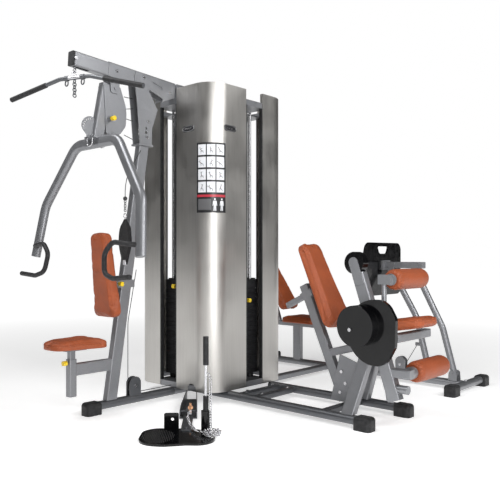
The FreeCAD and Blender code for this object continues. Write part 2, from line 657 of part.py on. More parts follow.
def pulley(name, centre, axis, rim="pulley_radius"):
    """A grooved pulley with a running bore, turned about an axis through its centre."""
    radius, wide, bore = size(rim), size("pulley_wide") / 2, size("pulley_bore")
    body, sketch = new_sketch(name)
    outline = [(bore, -wide), (radius, -wide), (radius - 7, -2, 3), (radius - 7, 2, 3), (radius, wide),
               (bore, wide)]
    sketch.addGeometry(rounded_path(flat(outline), closed=True))
    wheel = body.newObject("PartDesign::Revolution", name + "_turned")
    wheel.Profile = sketch
    wheel.ReferenceAxis = (sketch, ["V_Axis"])
    wheel.Angle = 360
    place = frame_of(centre, axis)
    body.Placement = place.multiply(FreeCAD.Placement(Vec(), FreeCAD.Rotation(X_AXIS, 90)))
    return node(body)


def make_press_pulleys():
    top = size("base_low") + size("base_deep")
    pulley("low_pulley", Vec(0, -728, top + 62), X_AXIS)
    pulley("boom_pulley", Vec(0, BOOM_WHEEL_Y, boom_z(BOOM_WHEEL_Y)), X_AXIS, "small_wheel")


def cushion(name, outline, thick, place):
    """A plain closed pad with rounded corners; its edges are rounded over."""
    blank = plate(name + "_blank", outline, thick, place)
    doc.recompute()
    soft = doc.addObject("Part::Fillet", name)
    soft.Base = blank
    rims = []
    for number, edge in enumerate(blank.Shape.Edges, 1):
        middle = edge.CenterOfMass
        ends = [edge.valueAt(edge.FirstParameter), edge.valueAt(edge.LastParameter)]
        along = (ends[1] - ends[0]).normalize() if (ends[1] - ends[0]).Length > 1e-6 else Vec()
        if abs(along.dot(place.Rotation.multVec(Z_AXIS))) < 0.5 and middle:
            rims.append((number, size("pad_corner"), size("pad_corner")))
    soft.Edges = rims
    return node(soft)


BACK_OUTLINE = [(-122, -275, 48), (122, -275, 48), (86, 275, 44), (-86, 275, 44)]
TALL_BACK = [(-138, -292, 52), (138, -292, 52), (98, 292, 50), (-98, 292, 50)]
LEG_BACK_LIFT = 10


def back_pad(name, middle, lean, way, outline=None):
    """A tapered back pad: its face looks along way and it leans back by lean degrees."""
    face = FreeCAD.Rotation(Z_AXIS, way)
    across = face.multVec(Y_AXIS)
    tilt = FreeCAD.Rotation(across, -lean)
    normal = tilt.multVec(face.multVec(X_AXIS))
    upward = tilt.multVec(Z_AXIS)
    place = FreeCAD.Placement(Vec(middle), FreeCAD.Rotation(across, upward, normal, "ZXY"))
    return cushion(name, outline or BACK_OUTLINE, "pad_thick", place)


def make_press_seat():
    top, thick = 482, size("seat_thick")
    outline = [(-163, 176, 46), (-92, -168, 78), (92, -168, 78), (163, 176, 46)]
    cushion("press_seat_pad", outline, "seat_thick",
            FreeCAD.Placement(Vec(0, SEAT_POST_Y + 4, top - thick / 2), FreeCAD.Rotation()))
    low = top - thick
    post = tube("seat_post_tube", (0, SEAT_POST_Y, 170), (0, SEAT_POST_Y, low - 8), "post_side", "post_side",
                corner="pulley_pin", wall=None)
    shrink = 0.1
    half = size("post_side") / 2 - shrink
    post_clear = box("seat_post_room", (-half, SEAT_POST_Y - half, 160), 2 * half, 2 * half, 400)
    slim = doc.addObject("Part::MultiCommon", "seat_post_slim")
    slim.Shapes = [post, post_clear]
    flange = box("seat_flange", (-60, SEAT_POST_Y - 70, low - 8), 120, 140, 8)
    holes = []
    for step in range(5):
        start = Vec(0, SEAT_POST_Y - 30, 345 - 35 * step)
        holes.append(rod(f"seat_hole_{step}", start, start + Y_AXIS * 31, "pin_hole"))
    node(cut("press_seat_post", fuse("seat_post_welded", [slim, flange]), holes))
    spring_pin("seat_pin", Vec(0, SEAT_POST_Y - size("sleeve_side") / 2, 345), -Y_AXIS)


def spring_pin(name, face, way):
    """A sprung pull pin: shank into the sleeve, collar and yellow knob outside it."""
    inner = face - way * size("pin_reach")
    collar, knob = face + way * 8, face + way * 34
    node(fuse(name, [rod(name + "_shank", inner, collar, "pin_radius"),
                     rod(name + "_knob", collar, knob, "pin_knob")]))


def slim_bar(name, start, end, side):
    """A square bar that slides in a post_side room with 0.1 mm to spare."""
    full = tube(name + "_full", start, end, "post_side", "post_side", side, corner="pulley_pin", wall=None)
    slim = size("post_side") - 0.2
    room = box(name + "_room", (0, 0, 0), (end - start).Length, slim, slim)
    way = (end - start).normalize()
    place = FreeCAD.Placement(start, FreeCAD.Rotation(way, side, way.cross(side), "XYZ"))
    room.Placement = place.multiply(FreeCAD.Placement(Vec(0, -slim / 2, -slim / 2), FreeCAD.Rotation()))
    bar = doc.addObject("Part::MultiCommon", name)
    bar.Shapes = [full, room]
    return bar


def make_press_back():
    guide_y = post_y(BACK_ADJUST_Z)
    face = Vec(0, -994, 878)
    back_pad("press_back_pad", (face.x, face.y + 32, face.z), -6, -90)
    bar = slim_bar("back_slide_bar", Vec(0, guide_y - 110, BACK_ADJUST_Z),
                   Vec(0, guide_y + 55, BACK_ADJUST_Z), X_AXIS)
    outline = [(-60, -110, 10), (60, -110, 10), (50, 150, 10), (-50, 150, 10)]
    board = plate("back_board", outline, "sheet_thick",
                  FreeCAD.Placement(Vec(0, guide_y - 111, BACK_ADJUST_Z + 20), FreeCAD.Rotation(X_AXIS, 96)))
    holes = [rod(f"back_hole_{step}", (1, guide_y - 60 + 30 * step, BACK_ADJUST_Z),
                 (40, guide_y - 60 + 30 * step, BACK_ADJUST_Z), "pin_hole") for step in range(3)]
    node(cut("press_back_slide", fuse("back_slide_welded", [bar, board]), holes))
    spring_pin("back_pin", Vec(size("sleeve_side") / 2, guide_y - 60, BACK_ADJUST_Z), X_AXIS)


STRAP_AT = Vec(52, -836, 1262)


def make_ab_strap():
    """A padded strap with its ring, hanging in front of the upright."""
    strap = plate("strap_body", [(-26, -246, 8), (26, -246, 8), (70, -110, 30), (60, 0, 40), (12, 62, 10),
                                 (-12, 62, 10), (-60, 0, 40), (-70, -110, 30)], "strap_thick",
                  side_plane(STRAP_AT.x, STRAP_AT.y, STRAP_AT.z - 80))
    node(fuse("ab_strap", [strap, torus("strap_ring", STRAP_AT - Z_AXIS * 6, 15, 3, Y_AXIS)]))


# ---- low row station, along the front corner's diagonal ----

ROW_WAY = Vec(1, -1, 0).normalize()
ROW_SIDE = Vec(1, 1, 0).normalize()
ROW_START = Vec(206, -396, 0)


def row_line(distance, side=0.0, z=0.0):
    """A point along the row channel's line, measured from where it leaves the cover."""
    return ROW_START + ROW_WAY * distance + ROW_SIDE * side + Z_AXIS * z


def row_frame(distance, side, z):
    """A placement whose X runs out along the channel and whose Y runs to its right side."""
    return FreeCAD.Placement(row_line(distance, side, z), FreeCAD.Rotation(ROW_WAY, ROW_SIDE, Z_AXIS, "ZXY"))


def make_row_channel():
    """An open channel with a cable wheel in its mouth and a strap down to the foot platform."""
    half, mouth, wall, tall = 36, 54, 6, 68
    floor = plate("channel_floor", [(-40, -half), (474, -mouth), (474, mouth), (-40, half)], "sheet_thick",
                  row_frame(0, 0, wall), middle=False)
    walls = []
    for side in (-1, 1):
        way = ROW_WAY * 474 + ROW_SIDE * side * (mouth - half) * 474 / 514
        place = FreeCAD.Placement(row_line(0, side * (half - 1), wall),
                                  FreeCAD.Rotation(way.normalize(), Z_AXIS, way.cross(Z_AXIS), "ZXY"))
        outline = [(-40, 0), (474, 0), (474, tall - 22, 30), (380, tall, 20), (-40, tall)]
        walls.append(plate(f"channel_wall_{side + 1}", outline, "sheet_thick", place))
    wheel = rod("row_wheel", row_line(436, -12, 44), row_line(436, 12, 44), "bumper_radius")
    axle = rod("row_axle", row_line(436, -mouth, 44), row_line(436, mouth, 44), "pulley_pin")
    bridge = plate("channel_strap", [(430, -30, 6), (770, -30, 6), (770, 30, 6), (430, 30, 6)], "sheet_thick",
                   row_frame(0, 0, 12), middle=False)
    bolts = [rod(f"strap_bolt_{at}", row_line(at, 0, 12), row_line(at, 0, 26), "pivot_pin")
             for at in (500, 742)]
    node(fuse("row_channel", [floor] + walls + [wheel, axle, bridge] + bolts))
    swivel = [rod("swivel_body", SWIVEL, SWIVEL + Z_AXIS * 16, "pin_knob"),
              rod("swivel_neck", SWIVEL - Z_AXIS * 34, SWIVEL + Z_AXIS * 34, "pulley_pin")]
    return fuse("row_swivel", swivel)


def make_foot_platform():
    """The black two-lobed foot plate with its upright bracket and the bar's holder."""
    outline = [(-170, -196, 96), (130, -206, 120), (162, -60, 120), (142, 60, 90), (158, 205, 96),
               (-80, 214, 110), (-150, 70, 60)]
    deck = plate("platform_deck", outline, 12, row_frame(868, -45, 0), middle=False)
    place = FreeCAD.Placement(row_line(724, -84, 8), FreeCAD.Rotation(ROW_SIDE, Z_AXIS, ROW_WAY, "ZXY"))
    bracket = plate("platform_bracket", [(-42, 0, 6), (42, 0, 6), (42, 96, 10), (-42, 96, 10)], "sheet_thick",
                    place, [(6, 60, 9)])
    low, high = BAR_FOOT, BAR_FOOT + Vec(0, 0, 128)
    holder = cut("holder_ring", rod("holder_tube", low + Vec(0, 0, 6), high, "holder_radius"),
                 [rod("holder_bore", low + Vec(0, 0, 30), high + Vec(0, 0, 5), "holder_bore")])
    node(fuse("foot_platform", [deck, bracket, holder]))


BAR_FOOT = row_line(778, 112, 0)
SWIVEL = row_line(500, 14, 74)


def make_row_bar(swivel):
    """The straight bar that stands in the holder with its own chain, its grips and the loose chain."""
    low = BAR_FOOT + Vec(0, 0, 31)
    spans = ((31, 210), (384, 544))
    core = rod("row_bar_rod", low, low + Vec(0, 0, 510), "row_radius")
    eye = torus("row_bar_eye", BAR_FOOT + Vec(18, 0, 330), 11, 3.5, Y_AXIS)
    hanging = chain_run("hang", [BAR_FOOT + Vec(36, 0, 322), BAR_FOOT + Vec(44, -4, 24)])
    node(group("row_bar", [fuse("row_bar_solid", [core, eye])] + hanging))
    grips = []
    for number, (bottom, top) in enumerate(spans):
        ends = [BAR_FOOT + Vec(0, 0, bottom), BAR_FOOT + Vec(0, 0, top)]
        grips.append(cut(f"row_grip_{number}", rod(f"row_grip_sleeve_{number}", *ends, "bar_grip"),
                         [rod(f"row_grip_bore_{number}", *ends, "row_radius")]))
    node(group("row_grips", grips))
    run = [SWIVEL + ROW_WAY * 26, row_line(590, 0, 50), row_line(700, 20, 30), row_line(840, 60, 30),
           row_line(900, 150, 30)]
    pile = chain_run("loose", run)
    for turn in range(3):
        middle = row_line(900, 148, 28 + 9 * turn)
        ring = []
        for here in range(6):
            angle = turn + 1.25 * here
            ring.append(middle + Vec(46 * math.cos(angle), 46 * math.sin(angle), 0))
        pile += chain_run(f"pile_{turn}", ring)
    node(group("row_chain", [swivel] + pile))


def chain_run(name, points):
    """Round links along straight runs, each turned a quarter from the last."""
    links, step = [], 15
    for run, (start, end) in enumerate(zip(points, points[1:])):
        way = (end - start)
        count = int(way.Length / step)
        way = Vec(way).normalize()
        across = way.cross(Z_AXIS) if abs(way.z) < 0.9 else way.cross(X_AXIS)
        for here in range(count):
            axis = across if here % 2 else across.cross(way)
            links.append(torus(f"{name}_{run}_{here}", start + way * step * (here + 0.5), 8, 2.4, axis))
    return links


def torus(name, middle, radius, thick, axis):
    ring = doc.addObject("Part::Torus", name)
    ring.Radius1, ring.Radius2 = radius, thick
    ring.Placement = frame_of(middle, axis)
    return ring


# ---- leg extension and curl station, towards +X ----

LEG_Y = 40
NEAR_Y, FAR_Y = -216, 232
KNEE = Vec(1550, -200, 572)
WEIGHT_AT, ARM_END = Vec(1399, -200, 957), Vec(1656, -200, 196)
SHIN_ROLLER, THIGH_ROLLER = Vec(1722, 60, 350), Vec(1588, 60, 862)
POST_LOW, POST_TOP = Vec(1160, LEG_Y, 84), Vec(843, LEG_Y, 803)
BACK_LEAN = 26


def make_leg_base():
    middle = size("base_low") + size("base_deep") / 2
    near = tube("near_tube", (32, NEAR_Y, middle), (1508, NEAR_Y, middle), "base_wide", "base_deep", Y_AXIS,
                corner="base_round", wall=None)
    far = tube("far_tube", (392, FAR_Y, middle), (1512, FAR_Y, middle), "base_wide", "base_deep", Y_AXIS,
               corner="base_round", wall=None)
    crosses = [tube(f"leg_cross_{x}", (x, NEAR_Y, middle), (x, FAR_Y, middle), "sleeve_side", "post_side",
                    X_AXIS, wall=None) for x in (470, 600, 1160)]
    return fuse("leg_base_tubes", [near, far] + crosses)


LEG_SEAT = FreeCAD.Placement(Vec(1494, LEG_Y, 584), FreeCAD.Rotation(Y_AXIS, -9))


def make_leg_frame():
    """Struts, leaning post, seat rail, knee bearing, thigh roller post and range plate."""
    top = size("base_low") + size("base_deep")
    near = tube("near_strut", (1346, NEAR_Y + 6, top - 20), (1408, -40, 500), "link_side", "upright_deep",
                Y_AXIS, wall=None)
    far = tube("far_strut", (1180, FAR_Y - 10, top - 20), (1400, 50, 500), "link_side", "upright_deep", Y_AXIS,
               wall=None)
    post = tube("back_post", POST_LOW, POST_TOP, "sleeve_side", "base_wide", Y_AXIS, wall=None)
    rail = tube("seat_rail", (1040, LEG_Y, 372), (1600, LEG_Y, 527), "carrier_wide", "link_side", Y_AXIS,
                wall=None)
    cross = tube("seat_cross", (1600, -120, 527), (1600, 280, 527), "sleeve_side", "sleeve_side", X_AXIS,
                 wall=None)
    gusset = plate("leg_gusset", [(-104, -128, 8), (90, -128, 8), (150, 40, 8), (88, 128, 8), (-36, 168, 8)],
                   "sheet_thick", side_plane(1192, -10, 214), [(-20, 60, 7), (10, -10, 7), (-30, -70, 7)])
    gusset_link = box("gusset_link", (1130, -8, 90), 100, 60, 30)
    bearing = rod("knee_bearing", (KNEE.x, -166, KNEE.z), (KNEE.x, -130, KNEE.z), "bumper_radius")
    bearing_link = tube("bearing_link", (1412, 0, 462), (1412, -160, 462), "link_side", "link_side", X_AXIS,
                        wall=None)
    bearing_web = tube("bearing_web", (1412, -148, 462), (KNEE.x, -148, KNEE.z - 4), "knee_web", "link_side",
                       Y_AXIS, wall=None)
    under = size("seat_thick") / 2 + size("sheet_thick") / 2
    board = plate("leg_seat_board", [(-210, -110, 20), (210, -100, 20), (210, 100, 20), (-210, 110, 20)],
                  "sheet_thick", LEG_SEAT.multiply(FreeCAD.Placement(Vec(0, 0, -under), FreeCAD.Rotation())))
    props = [tube(f"leg_seat_prop_{x}", (x, LEG_Y, low), (x, LEG_Y, high), "carrier_wide", "link_side", Y_AXIS,
                  wall=None) for x, low, high in ((1330, 450, 526), (1500, 500, 553))]
    high = THIGH_ROLLER
    thigh_post = rod("thigh_post", (1550, -146, KNEE.z), (1550, -146, high.z - 20), "grip_radius")
    block = box("thigh_block", (1520, -166, high.z - 28), 84, 34, 56)
    axle = rod("thigh_axle", high - Y_AXIS * 200, high + Y_AXIS * 212, "axle_radius")
    collar = rod("thigh_collar", high - Y_AXIS * 200, high - Y_AXIS * 191, "stem_collar")
    guide = tube("leg_back_guide", slide_point(-46), slide_point(46), "sleeve_side", "sleeve_side", Y_AXIS,
                 wall=None)
    room = tube("leg_back_room", slide_point(-70), slide_point(70), "post_side", "post_side", Y_AXIS,
                corner="pulley_pin", wall=None)
    bore = rod("knee_bore", (KNEE.x, -180, KNEE.z), (KNEE.x, -110, KNEE.z), "roller_bore")
    base_cut = box("leg_base_room", (900, -400, -10), 700, 800, 10 + top)
    whole = fuse("leg_frame_welded", [near, far, post, rail, cross, gusset, gusset_link, bearing, bearing_link,
                                      bearing_web, board, thigh_post, block, axle, collar, guide] + props)
    node(cut("leg_station_frame", whole, [room, bore, base_cut]))


def slide_way():
    return Vec(math.cos(math.radians(BACK_LEAN)), 0, math.sin(math.radians(BACK_LEAN)))


def slide_point(distance):
    """A point along the leg station's back slide, from where it crosses the post."""
    share = (742 - POST_LOW.z) / (POST_TOP.z - POST_LOW.z)
    centre = POST_LOW + (POST_TOP - POST_LOW) * share
    return centre + slide_way() * distance


def make_leg_seat():
    outline = [(-250, -150, 46), (120, -165, 60), (262, -118, 60), (262, 118, 60), (120, 165, 60),
               (-250, 150, 46)]
    cushion("leg_seat_pad", outline, "seat_thick", LEG_SEAT)


def make_leg_back():
    bar = slim_bar("leg_slide_bar", slide_point(-190), slide_point(110), Y_AXIS)
    outline = [(-60, -170, 10), (60, -170, 10), (50, 170, 10), (-50, 170, 10)]
    board = plate("leg_back_board", outline, "sheet_thick",
                  FreeCAD.Placement(slide_point(107), FreeCAD.Rotation(Y_AXIS, Y_AXIS.cross(slide_way()) * -1,
                                                                      slide_way(), "ZXY")))
    node(fuse("leg_back_slide", [bar, board]))
    middle = slide_point(110 + size("pad_thick") / 2) + slide_way().cross(Y_AXIS) * LEG_BACK_LIFT
    back_pad("leg_back_pad", middle, BACK_LEAN, 0, TALL_BACK)


def make_leg_arm():
    """The swing arm: tube, weight cheeks, knee axle, roller bracket and axle."""
    way = (ARM_END - WEIGHT_AT).normalize()
    top = WEIGHT_AT + way * (size("weight_radius") + 1)
    arm = tube("swing_tube", top, ARM_END, "swing_wide", "swing_deep", Y_AXIS, wall=None)
    turn = math.degrees(math.atan2(way.x, -way.z))
    cheeks = []
    for side in (-1, 1):
        place = side_plane(WEIGHT_AT.x, WEIGHT_AT.y + side * (size("swing_wide") / 2 + 3), WEIGHT_AT.z)
        place.Rotation = FreeCAD.Rotation(Y_AXIS, -turn).multiply(place.Rotation)
        outline = [(-30, -130, 6), (30, -130, 6), (30, 32, 28), (-30, 32, 28)]
        cheeks.append(plate(f"weight_cheek_{side + 1}", outline, "sheet_thick", place))
    axle = rod("knee_axle", (KNEE.x, -266, KNEE.z), (KNEE.x, -132, KNEE.z), "axle_radius")
    spacer = rod("knee_spacer", (KNEE.x, -266, KNEE.z), (KNEE.x, -226, KNEE.z), "roller_radius")
    bracket = tube("roller_bracket", (1590, -200, SHIN_ROLLER.z), (1756, -200, SHIN_ROLLER.z), "sleeve_side",
                   "sleeve_side", Y_AXIS, wall=None)
    low = SHIN_ROLLER
    shin_axle = rod("shin_axle", (low.x, -200, low.z), low + Y_AXIS * 212, "axle_radius")
    collar = rod("shin_collar", (low.x, -174, low.z), low - Y_AXIS * 191, "stem_collar")
    stub = rod("shin_stub", (1664, -200, 262), (1734, -200, 262), "bumper_radius")
    holes = [(-68 + 5 * step, 44 - 36 * step, 7) for step in range(4)]
    strip = plate("shin_strip", [(-64, -80, 12), (-20, -84, 4), (-34, 64, 4), (-86, 64, 14)], "sheet_thick",
                  side_plane(1660, -196, 262), holes)
    pin = rod("weight_pin", WEIGHT_AT + Vec(0, -34, 0), WEIGHT_AT + Vec(0, 34, 0), "pivot_pin")
    node(fuse("leg_arm", [arm, axle, spacer, bracket, shin_axle, collar, stub, strip, pin] + cheeks))
    weight = rod("weight_blank", WEIGHT_AT + Vec(0, -28, 0), WEIGHT_AT + Vec(0, 28, 0), "weight_radius")
    bore = rod("weight_bore", WEIGHT_AT + Vec(0, -30, 0), WEIGHT_AT + Vec(0, 30, 0), "pivot_pin")
    half = size("disc_radius")
    outline = [(-half, -half, half - 1), (62, -half, 98), (124, -70, 40), (128, 84, 60), (72, half, 98),
               (-half, half, half - 1)]
    face = plate("cam_disc", outline, "disc_thick",
                 side_plane(KNEE.x + 28, -266 - size("disc_thick") / 2, KNEE.z))
    hub_at = Vec(KNEE.x - 66, -266 - size("disc_thick"), KNEE.z + 34)
    hub = rod("cam_hub", hub_at, hub_at - Y_AXIS * size("hub_thick"), "hub_radius")
    cover_bolt = hex_head("cam_bolt", hub_at - Y_AXIS * size("hub_thick") + Vec(-28, 0, -20), -Y_AXIS)
    node(group("leg_cam_cover", [fuse("cam_cover_solid", [face, hub, cover_bolt]),
                                 cut("leg_weight", weight, [bore])]))


def roller(name, centre):
    """A round pad that turns on its axle: plain tube with soft ends."""
    half = size("roller_long") / 2
    ends = [centre - Y_AXIS * half, centre + Y_AXIS * half]
    body, sketch = new_sketch(name)
    radius, bore = size("roller_radius"), size("roller_bore")
    outline = [(bore, -half), (radius - 8, -half, 20), (radius, -half + 34, 60), (radius, half - 40, 60),
               (radius - 20, half, 24), (bore, half)]
    sketch.addGeometry(rounded_path(flat(outline), closed=True))
    turned_pad = body.newObject("PartDesign::Revolution", name + "_turned")
    turned_pad.Profile = sketch
    turned_pad.ReferenceAxis = (sketch, ["V_Axis"])
    turned_pad.Angle = 360
    body.Placement.Base = (ends[0] + ends[1]) * 0.5
    return node(body)


# ---- leg press station, along the +Y side ----

PRESS_Y = 1200
FRONT_FOOT, FRONT_HEAD, FRONT_BEND = Vec(1355, PRESS_Y, 118), Vec(1045, PRESS_Y, 868), Vec(1262, PRESS_Y, 455)
REAR_FOOT, REAR_HEAD, REAR_BEND = Vec(1150, PRESS_Y, 118), Vec(840, PRESS_Y, 868), Vec(1048, PRESS_Y, 520)
COUPLER_Z = 924


def make_legpress_frame():
    middle = size("base_low") + size("base_deep") / 2
    top = size("base_low") + size("base_deep")
    rail = tube("press_rail_x", (-560, PRESS_Y, middle), (1440, PRESS_Y, middle), "base_wide", "base_deep",
                Y_AXIS, corner="base_round", wall=None)
    feet = []
    for number, (x, low, high) in enumerate(((1440, 930, 1540), (-540, 980, 1420))):
        feet.append(tube(f"cross_foot_{number}", (x, low, middle), (x, high, middle), "base_wide", "base_deep",
                         X_AXIS, corner="base_round", wall=None))
    outer = size("tower_half") - size("cover_sheet")
    link = tube("tower_link", (250, outer - size("ring_side"), middle + 6), (250, PRESS_Y, middle + 6),
                "base_wide", "carrier_wide", X_AXIS, wall=None)
    ears = []
    for foot in (FRONT_FOOT, REAR_FOOT):
        for side in (-1, 1):
            outline = [(-34, top - foot.z - 4), (34, top - foot.z - 4), (30, 26, 24), (-30, 26, 24)]
            place = side_plane(foot.x, foot.y + side * 30, foot.z)
            ears.append(plate(f"arm_ear_{int(foot.x)}_{side + 1}", outline, "sheet_thick", place))
        ears.append(rod(f"arm_pin_{int(foot.x)}", foot - Y_AXIS * 36, foot + Y_AXIS * 36, "pulley_pin"))
    seat_post = tube("press_seat_post_tube", (-120, PRESS_Y, middle), (-120, PRESS_Y, 380), "upright_wide",
                     "upright_deep", Y_AXIS, wall=None)
    seat_rail = tube("press_seat_rail", (-450, PRESS_Y, 382), (130, PRESS_Y, 382), "carrier_wide", "post_side",
                     Y_AXIS, corner="pulley_pin", wall=None)
    back_rail = tube("press_back_rail", (-336, PRESS_Y, 390), (-470, PRESS_Y, 770), "carrier_wide",
                     "sleeve_side", Y_AXIS, wall=None)
    cheeks = []
    for side in (-1, 1):
        outline = [(-40, -12), (40, -12), (46, 130, 44), (-46, 130, 44)]
        cheeks.append(plate(f"press_pulley_cheek_{side + 1}", outline, "sheet_thick",
                            side_plane(LEGPRESS_PULLEY.x, PRESS_Y + side * 17, top)))
    axle = rod("press_pulley_axle", LEGPRESS_PULLEY - Y_AXIS * 20, LEGPRESS_PULLEY + Y_AXIS * 20, "pulley_pin")
    node(fuse("legpress_frame", [rail, link, seat_post, seat_rail, back_rail, axle] + feet + ears + cheeks))


LEGPRESS_PULLEY = Vec(915, PRESS_Y, 140)


def swing_arm(name, foot, bend, head, lug):
    """A bent tube with a bush across each end."""
    bore = "pivot_loose" if "rear" in name else "pulley_bore"
    leg = bent_rod(name + "_leg", [(*foot, 0), (*bend, 260), (*head, 0)], "bumper_radius")
    bushes = [rod(f"{name}_bush_{end}", at - Y_AXIS * 26, at + Y_AXIS * 26, "bush_radius")
              for end, at in enumerate((foot, head))]
    holes = [rod(f"{name}_bore_0", foot - Y_AXIS * 40, foot + Y_AXIS * 40, "pulley_bore"),
             rod(f"{name}_bore_1", head - Y_AXIS * 40, head + Y_AXIS * 40, bore)]
    node(cut(name, fuse(name + "_welded", [leg] + bushes + lug), holes))


def make_legpress_arms():
    swing_arm("legpress_front_arm", FRONT_FOOT, FRONT_BEND, FRONT_HEAD, [])
    lug = box("rear_lug", (1040, PRESS_Y - 8, 300), 60, 16, 24)
    swing_arm("legpress_rear_arm", REAR_FOOT, REAR_BEND, REAR_HEAD, [lug])
    bar = tube("coupler_tube", (780, PRESS_Y, COUPLER_Z), (1110, PRESS_Y, COUPLER_Z), "link_side", "link_side",
               Y_AXIS, wall=None)
    ears = []
    for head in (FRONT_HEAD, REAR_HEAD):
        for side in (-1, 1):
            lift = COUPLER_Z - head.z + 20
            outline = [(-26, -24, 22), (26, -24, 22), (32, lift), (-32, lift)]
            ears.append(plate(f"coupler_ear_{int(head.x)}_{side + 1}", outline, "sheet_thick",
                              side_plane(head.x, head.y + side * 30, head.z)))
        ears.append(rod(f"coupler_pin_{int(head.x)}", head - Y_AXIS * 36, head + Y_AXIS * 36, "pulley_pin"))
    mount = box("plate_mount", (766, PRESS_Y - 60, COUPLER_Z - 40), 16, 120, 76)
    node(fuse("legpress_coupler", [bar, mount] + ears))
    outline = [(-284, -208, 60), (284, -208, 60), (284, 212, 60), (-250, 212, 70), (-284, 110, 70)]
    face = plate("foot_plate_blank", outline, "foot_plate_thick", upright_plane(759, PRESS_Y - 26, 890))
    hole = plate("foot_plate_hole", [(-58, 124, 30), (58, 124, 30), (84, 182, 10), (-84, 182, 10)], 60,
                 upright_plane(759, PRESS_Y - 26, 890))
    node(cut("foot_plate", face, [hole]))


def make_legpress_pads():
    outline = [(-190, -150, 46), (190, -165, 50), (190, 165, 50), (-190, 150, 46)]
    cushion("legpress_seat_pad", outline, "seat_thick",
            FreeCAD.Placement(Vec(-20, PRESS_Y, 403 + size("seat_thick") / 2), FreeCAD.Rotation()))
    back_pad("legpress_back_pad", (-352, PRESS_Y, 742), 33, 0)


# ---- caps, bolts, panels and cables ----

def foot_cap(name, end, way, stock):
    """A rubber boot round a base tube's end, down to the floor."""
    wide, long = size("base_wide") + 2 * size("cap_extra"), size("cap_long")
    outline = [(-wide / 2, -long, 18), (wide / 2, -long, 18), (wide / 2, 12, 24), (-wide / 2, 12, 24)]
    turn = FreeCAD.Rotation(X_AXIS, Y_AXIS, Z_AXIS, "ZXY")
    if way.x:
        turn = FreeCAD.Rotation(Z_AXIS, -90)
    elif way.y < 0:
        turn = FreeCAD.Rotation(Z_AXIS, 180)
    place = FreeCAD.Placement(Vec(end.x, end.y, 0), turn)
    blank = plate(name + "_blank", outline, "cap_tall", place, middle=False)
    doc.recompute()
    boot = doc.addObject("Part::Fillet", name + "_boot")
    boot.Base = blank
    boot.Edges = [(number, 22, 22) for number, edge in enumerate(blank.Shape.Edges, 1)
                  if min(vertex.Z for vertex in edge.Vertexes) > size("cap_tall") - 1]
    return cut(name, boot, [stock])


def make_caps():
    middle = size("base_low") + size("base_deep") / 2
    ends = [("press_cap", Vec(0, -1100, 0), -Y_AXIS, Vec(0, -900, middle)),
            ("near_cap", Vec(1508, NEAR_Y, 0), X_AXIS, Vec(1300, NEAR_Y, middle)),
            ("far_cap", Vec(1512, FAR_Y, 0), X_AXIS, Vec(1300, FAR_Y, middle)),
            ("foot_cap_near", Vec(1440, 930, 0), -Y_AXIS, Vec(1440, 1100, middle)),
            ("foot_cap_far", Vec(1440, 1540, 0), Y_AXIS, Vec(1440, 1300, middle)),
            ("rear_cap_near", Vec(-540, 980, 0), -Y_AXIS, Vec(-540, 1100, middle)),
            ("rear_cap_far", Vec(-540, 1420, 0), Y_AXIS, Vec(-540, 1300, middle))]
    caps = []
    for name, end, way, inner in ends:
        side = Y_AXIS if way.x else X_AXIS
        stock = tube(name + "_stock", inner, Vec(end.x, end.y, middle), "base_wide", "base_deep", side,
                     corner="base_round", wall=None)
        caps.append(foot_cap(name, end, way, stock))
    caps.append(rod("floor_pad_disc", (0, 0, 0), (0, 0, size("base_low")), "floor_pad"))
    boom_way = (BOOM_TIP - BOOM_ROOT).normalize()
    caps.append(tube("boom_cap", BOOM_TIP, BOOM_TIP + boom_way * 12, "boom_wide", "boom_deep", wall=None))
    caps.append(tube("far_tube_cap", (380, FAR_Y, middle), (392, FAR_Y, middle), "base_wide", "base_deep",
                     Y_AXIS, corner="base_round", wall=None))
    node(group("black_caps", caps + make_trims()))


def hex_head(name, at, way, across=19, tall=9):
    head = doc.addObject("Part::Prism", name)
    head.Polygon = 6
    head.Circumradius = across / math.sqrt(3)
    head.Height = tall
    head.Placement = frame_of(at, way)
    return head


def make_bolts():
    """Hexagon heads that stand on the frame's faces."""
    outer = size("boom_wide") / 2
    spots = [(Vec(outer, y, boom_z(y)), X_AXIS) for y in (-889, -1190)]
    gusset_face = size("gusset_gap") / 2 + 6.02
    for y, z in ((4, 44), (14, 150), (-22, 440), (200, 380)):
        spots.append((Vec(gusset_face, POST_HEAD.y + y, POST_HEAD.z + z), X_AXIS))
    base_top = size("base_low") + size("base_deep")
    spots += [(Vec(x, y, base_top - 6), Z_AXIS) for x in (470, 600) for y in (-120, 150)]
    spots.append((Vec(20, -728, base_top + 62), X_AXIS))
    spots.append((Vec(1440, PRESS_Y, base_top), Z_AXIS))
    spots.append((LEGPRESS_PULLEY - Y_AXIS * 20, -Y_AXIS))
    for x, z in ((1172, 274), (1202, 204), (1162, 144)):
        spots.append((Vec(x, -13, z), -Y_AXIS))
    heads = [hex_head(f"bolt_{number}", at, way) for number, (at, way) in enumerate(spots)]
    node(group("frame_bolts", heads))


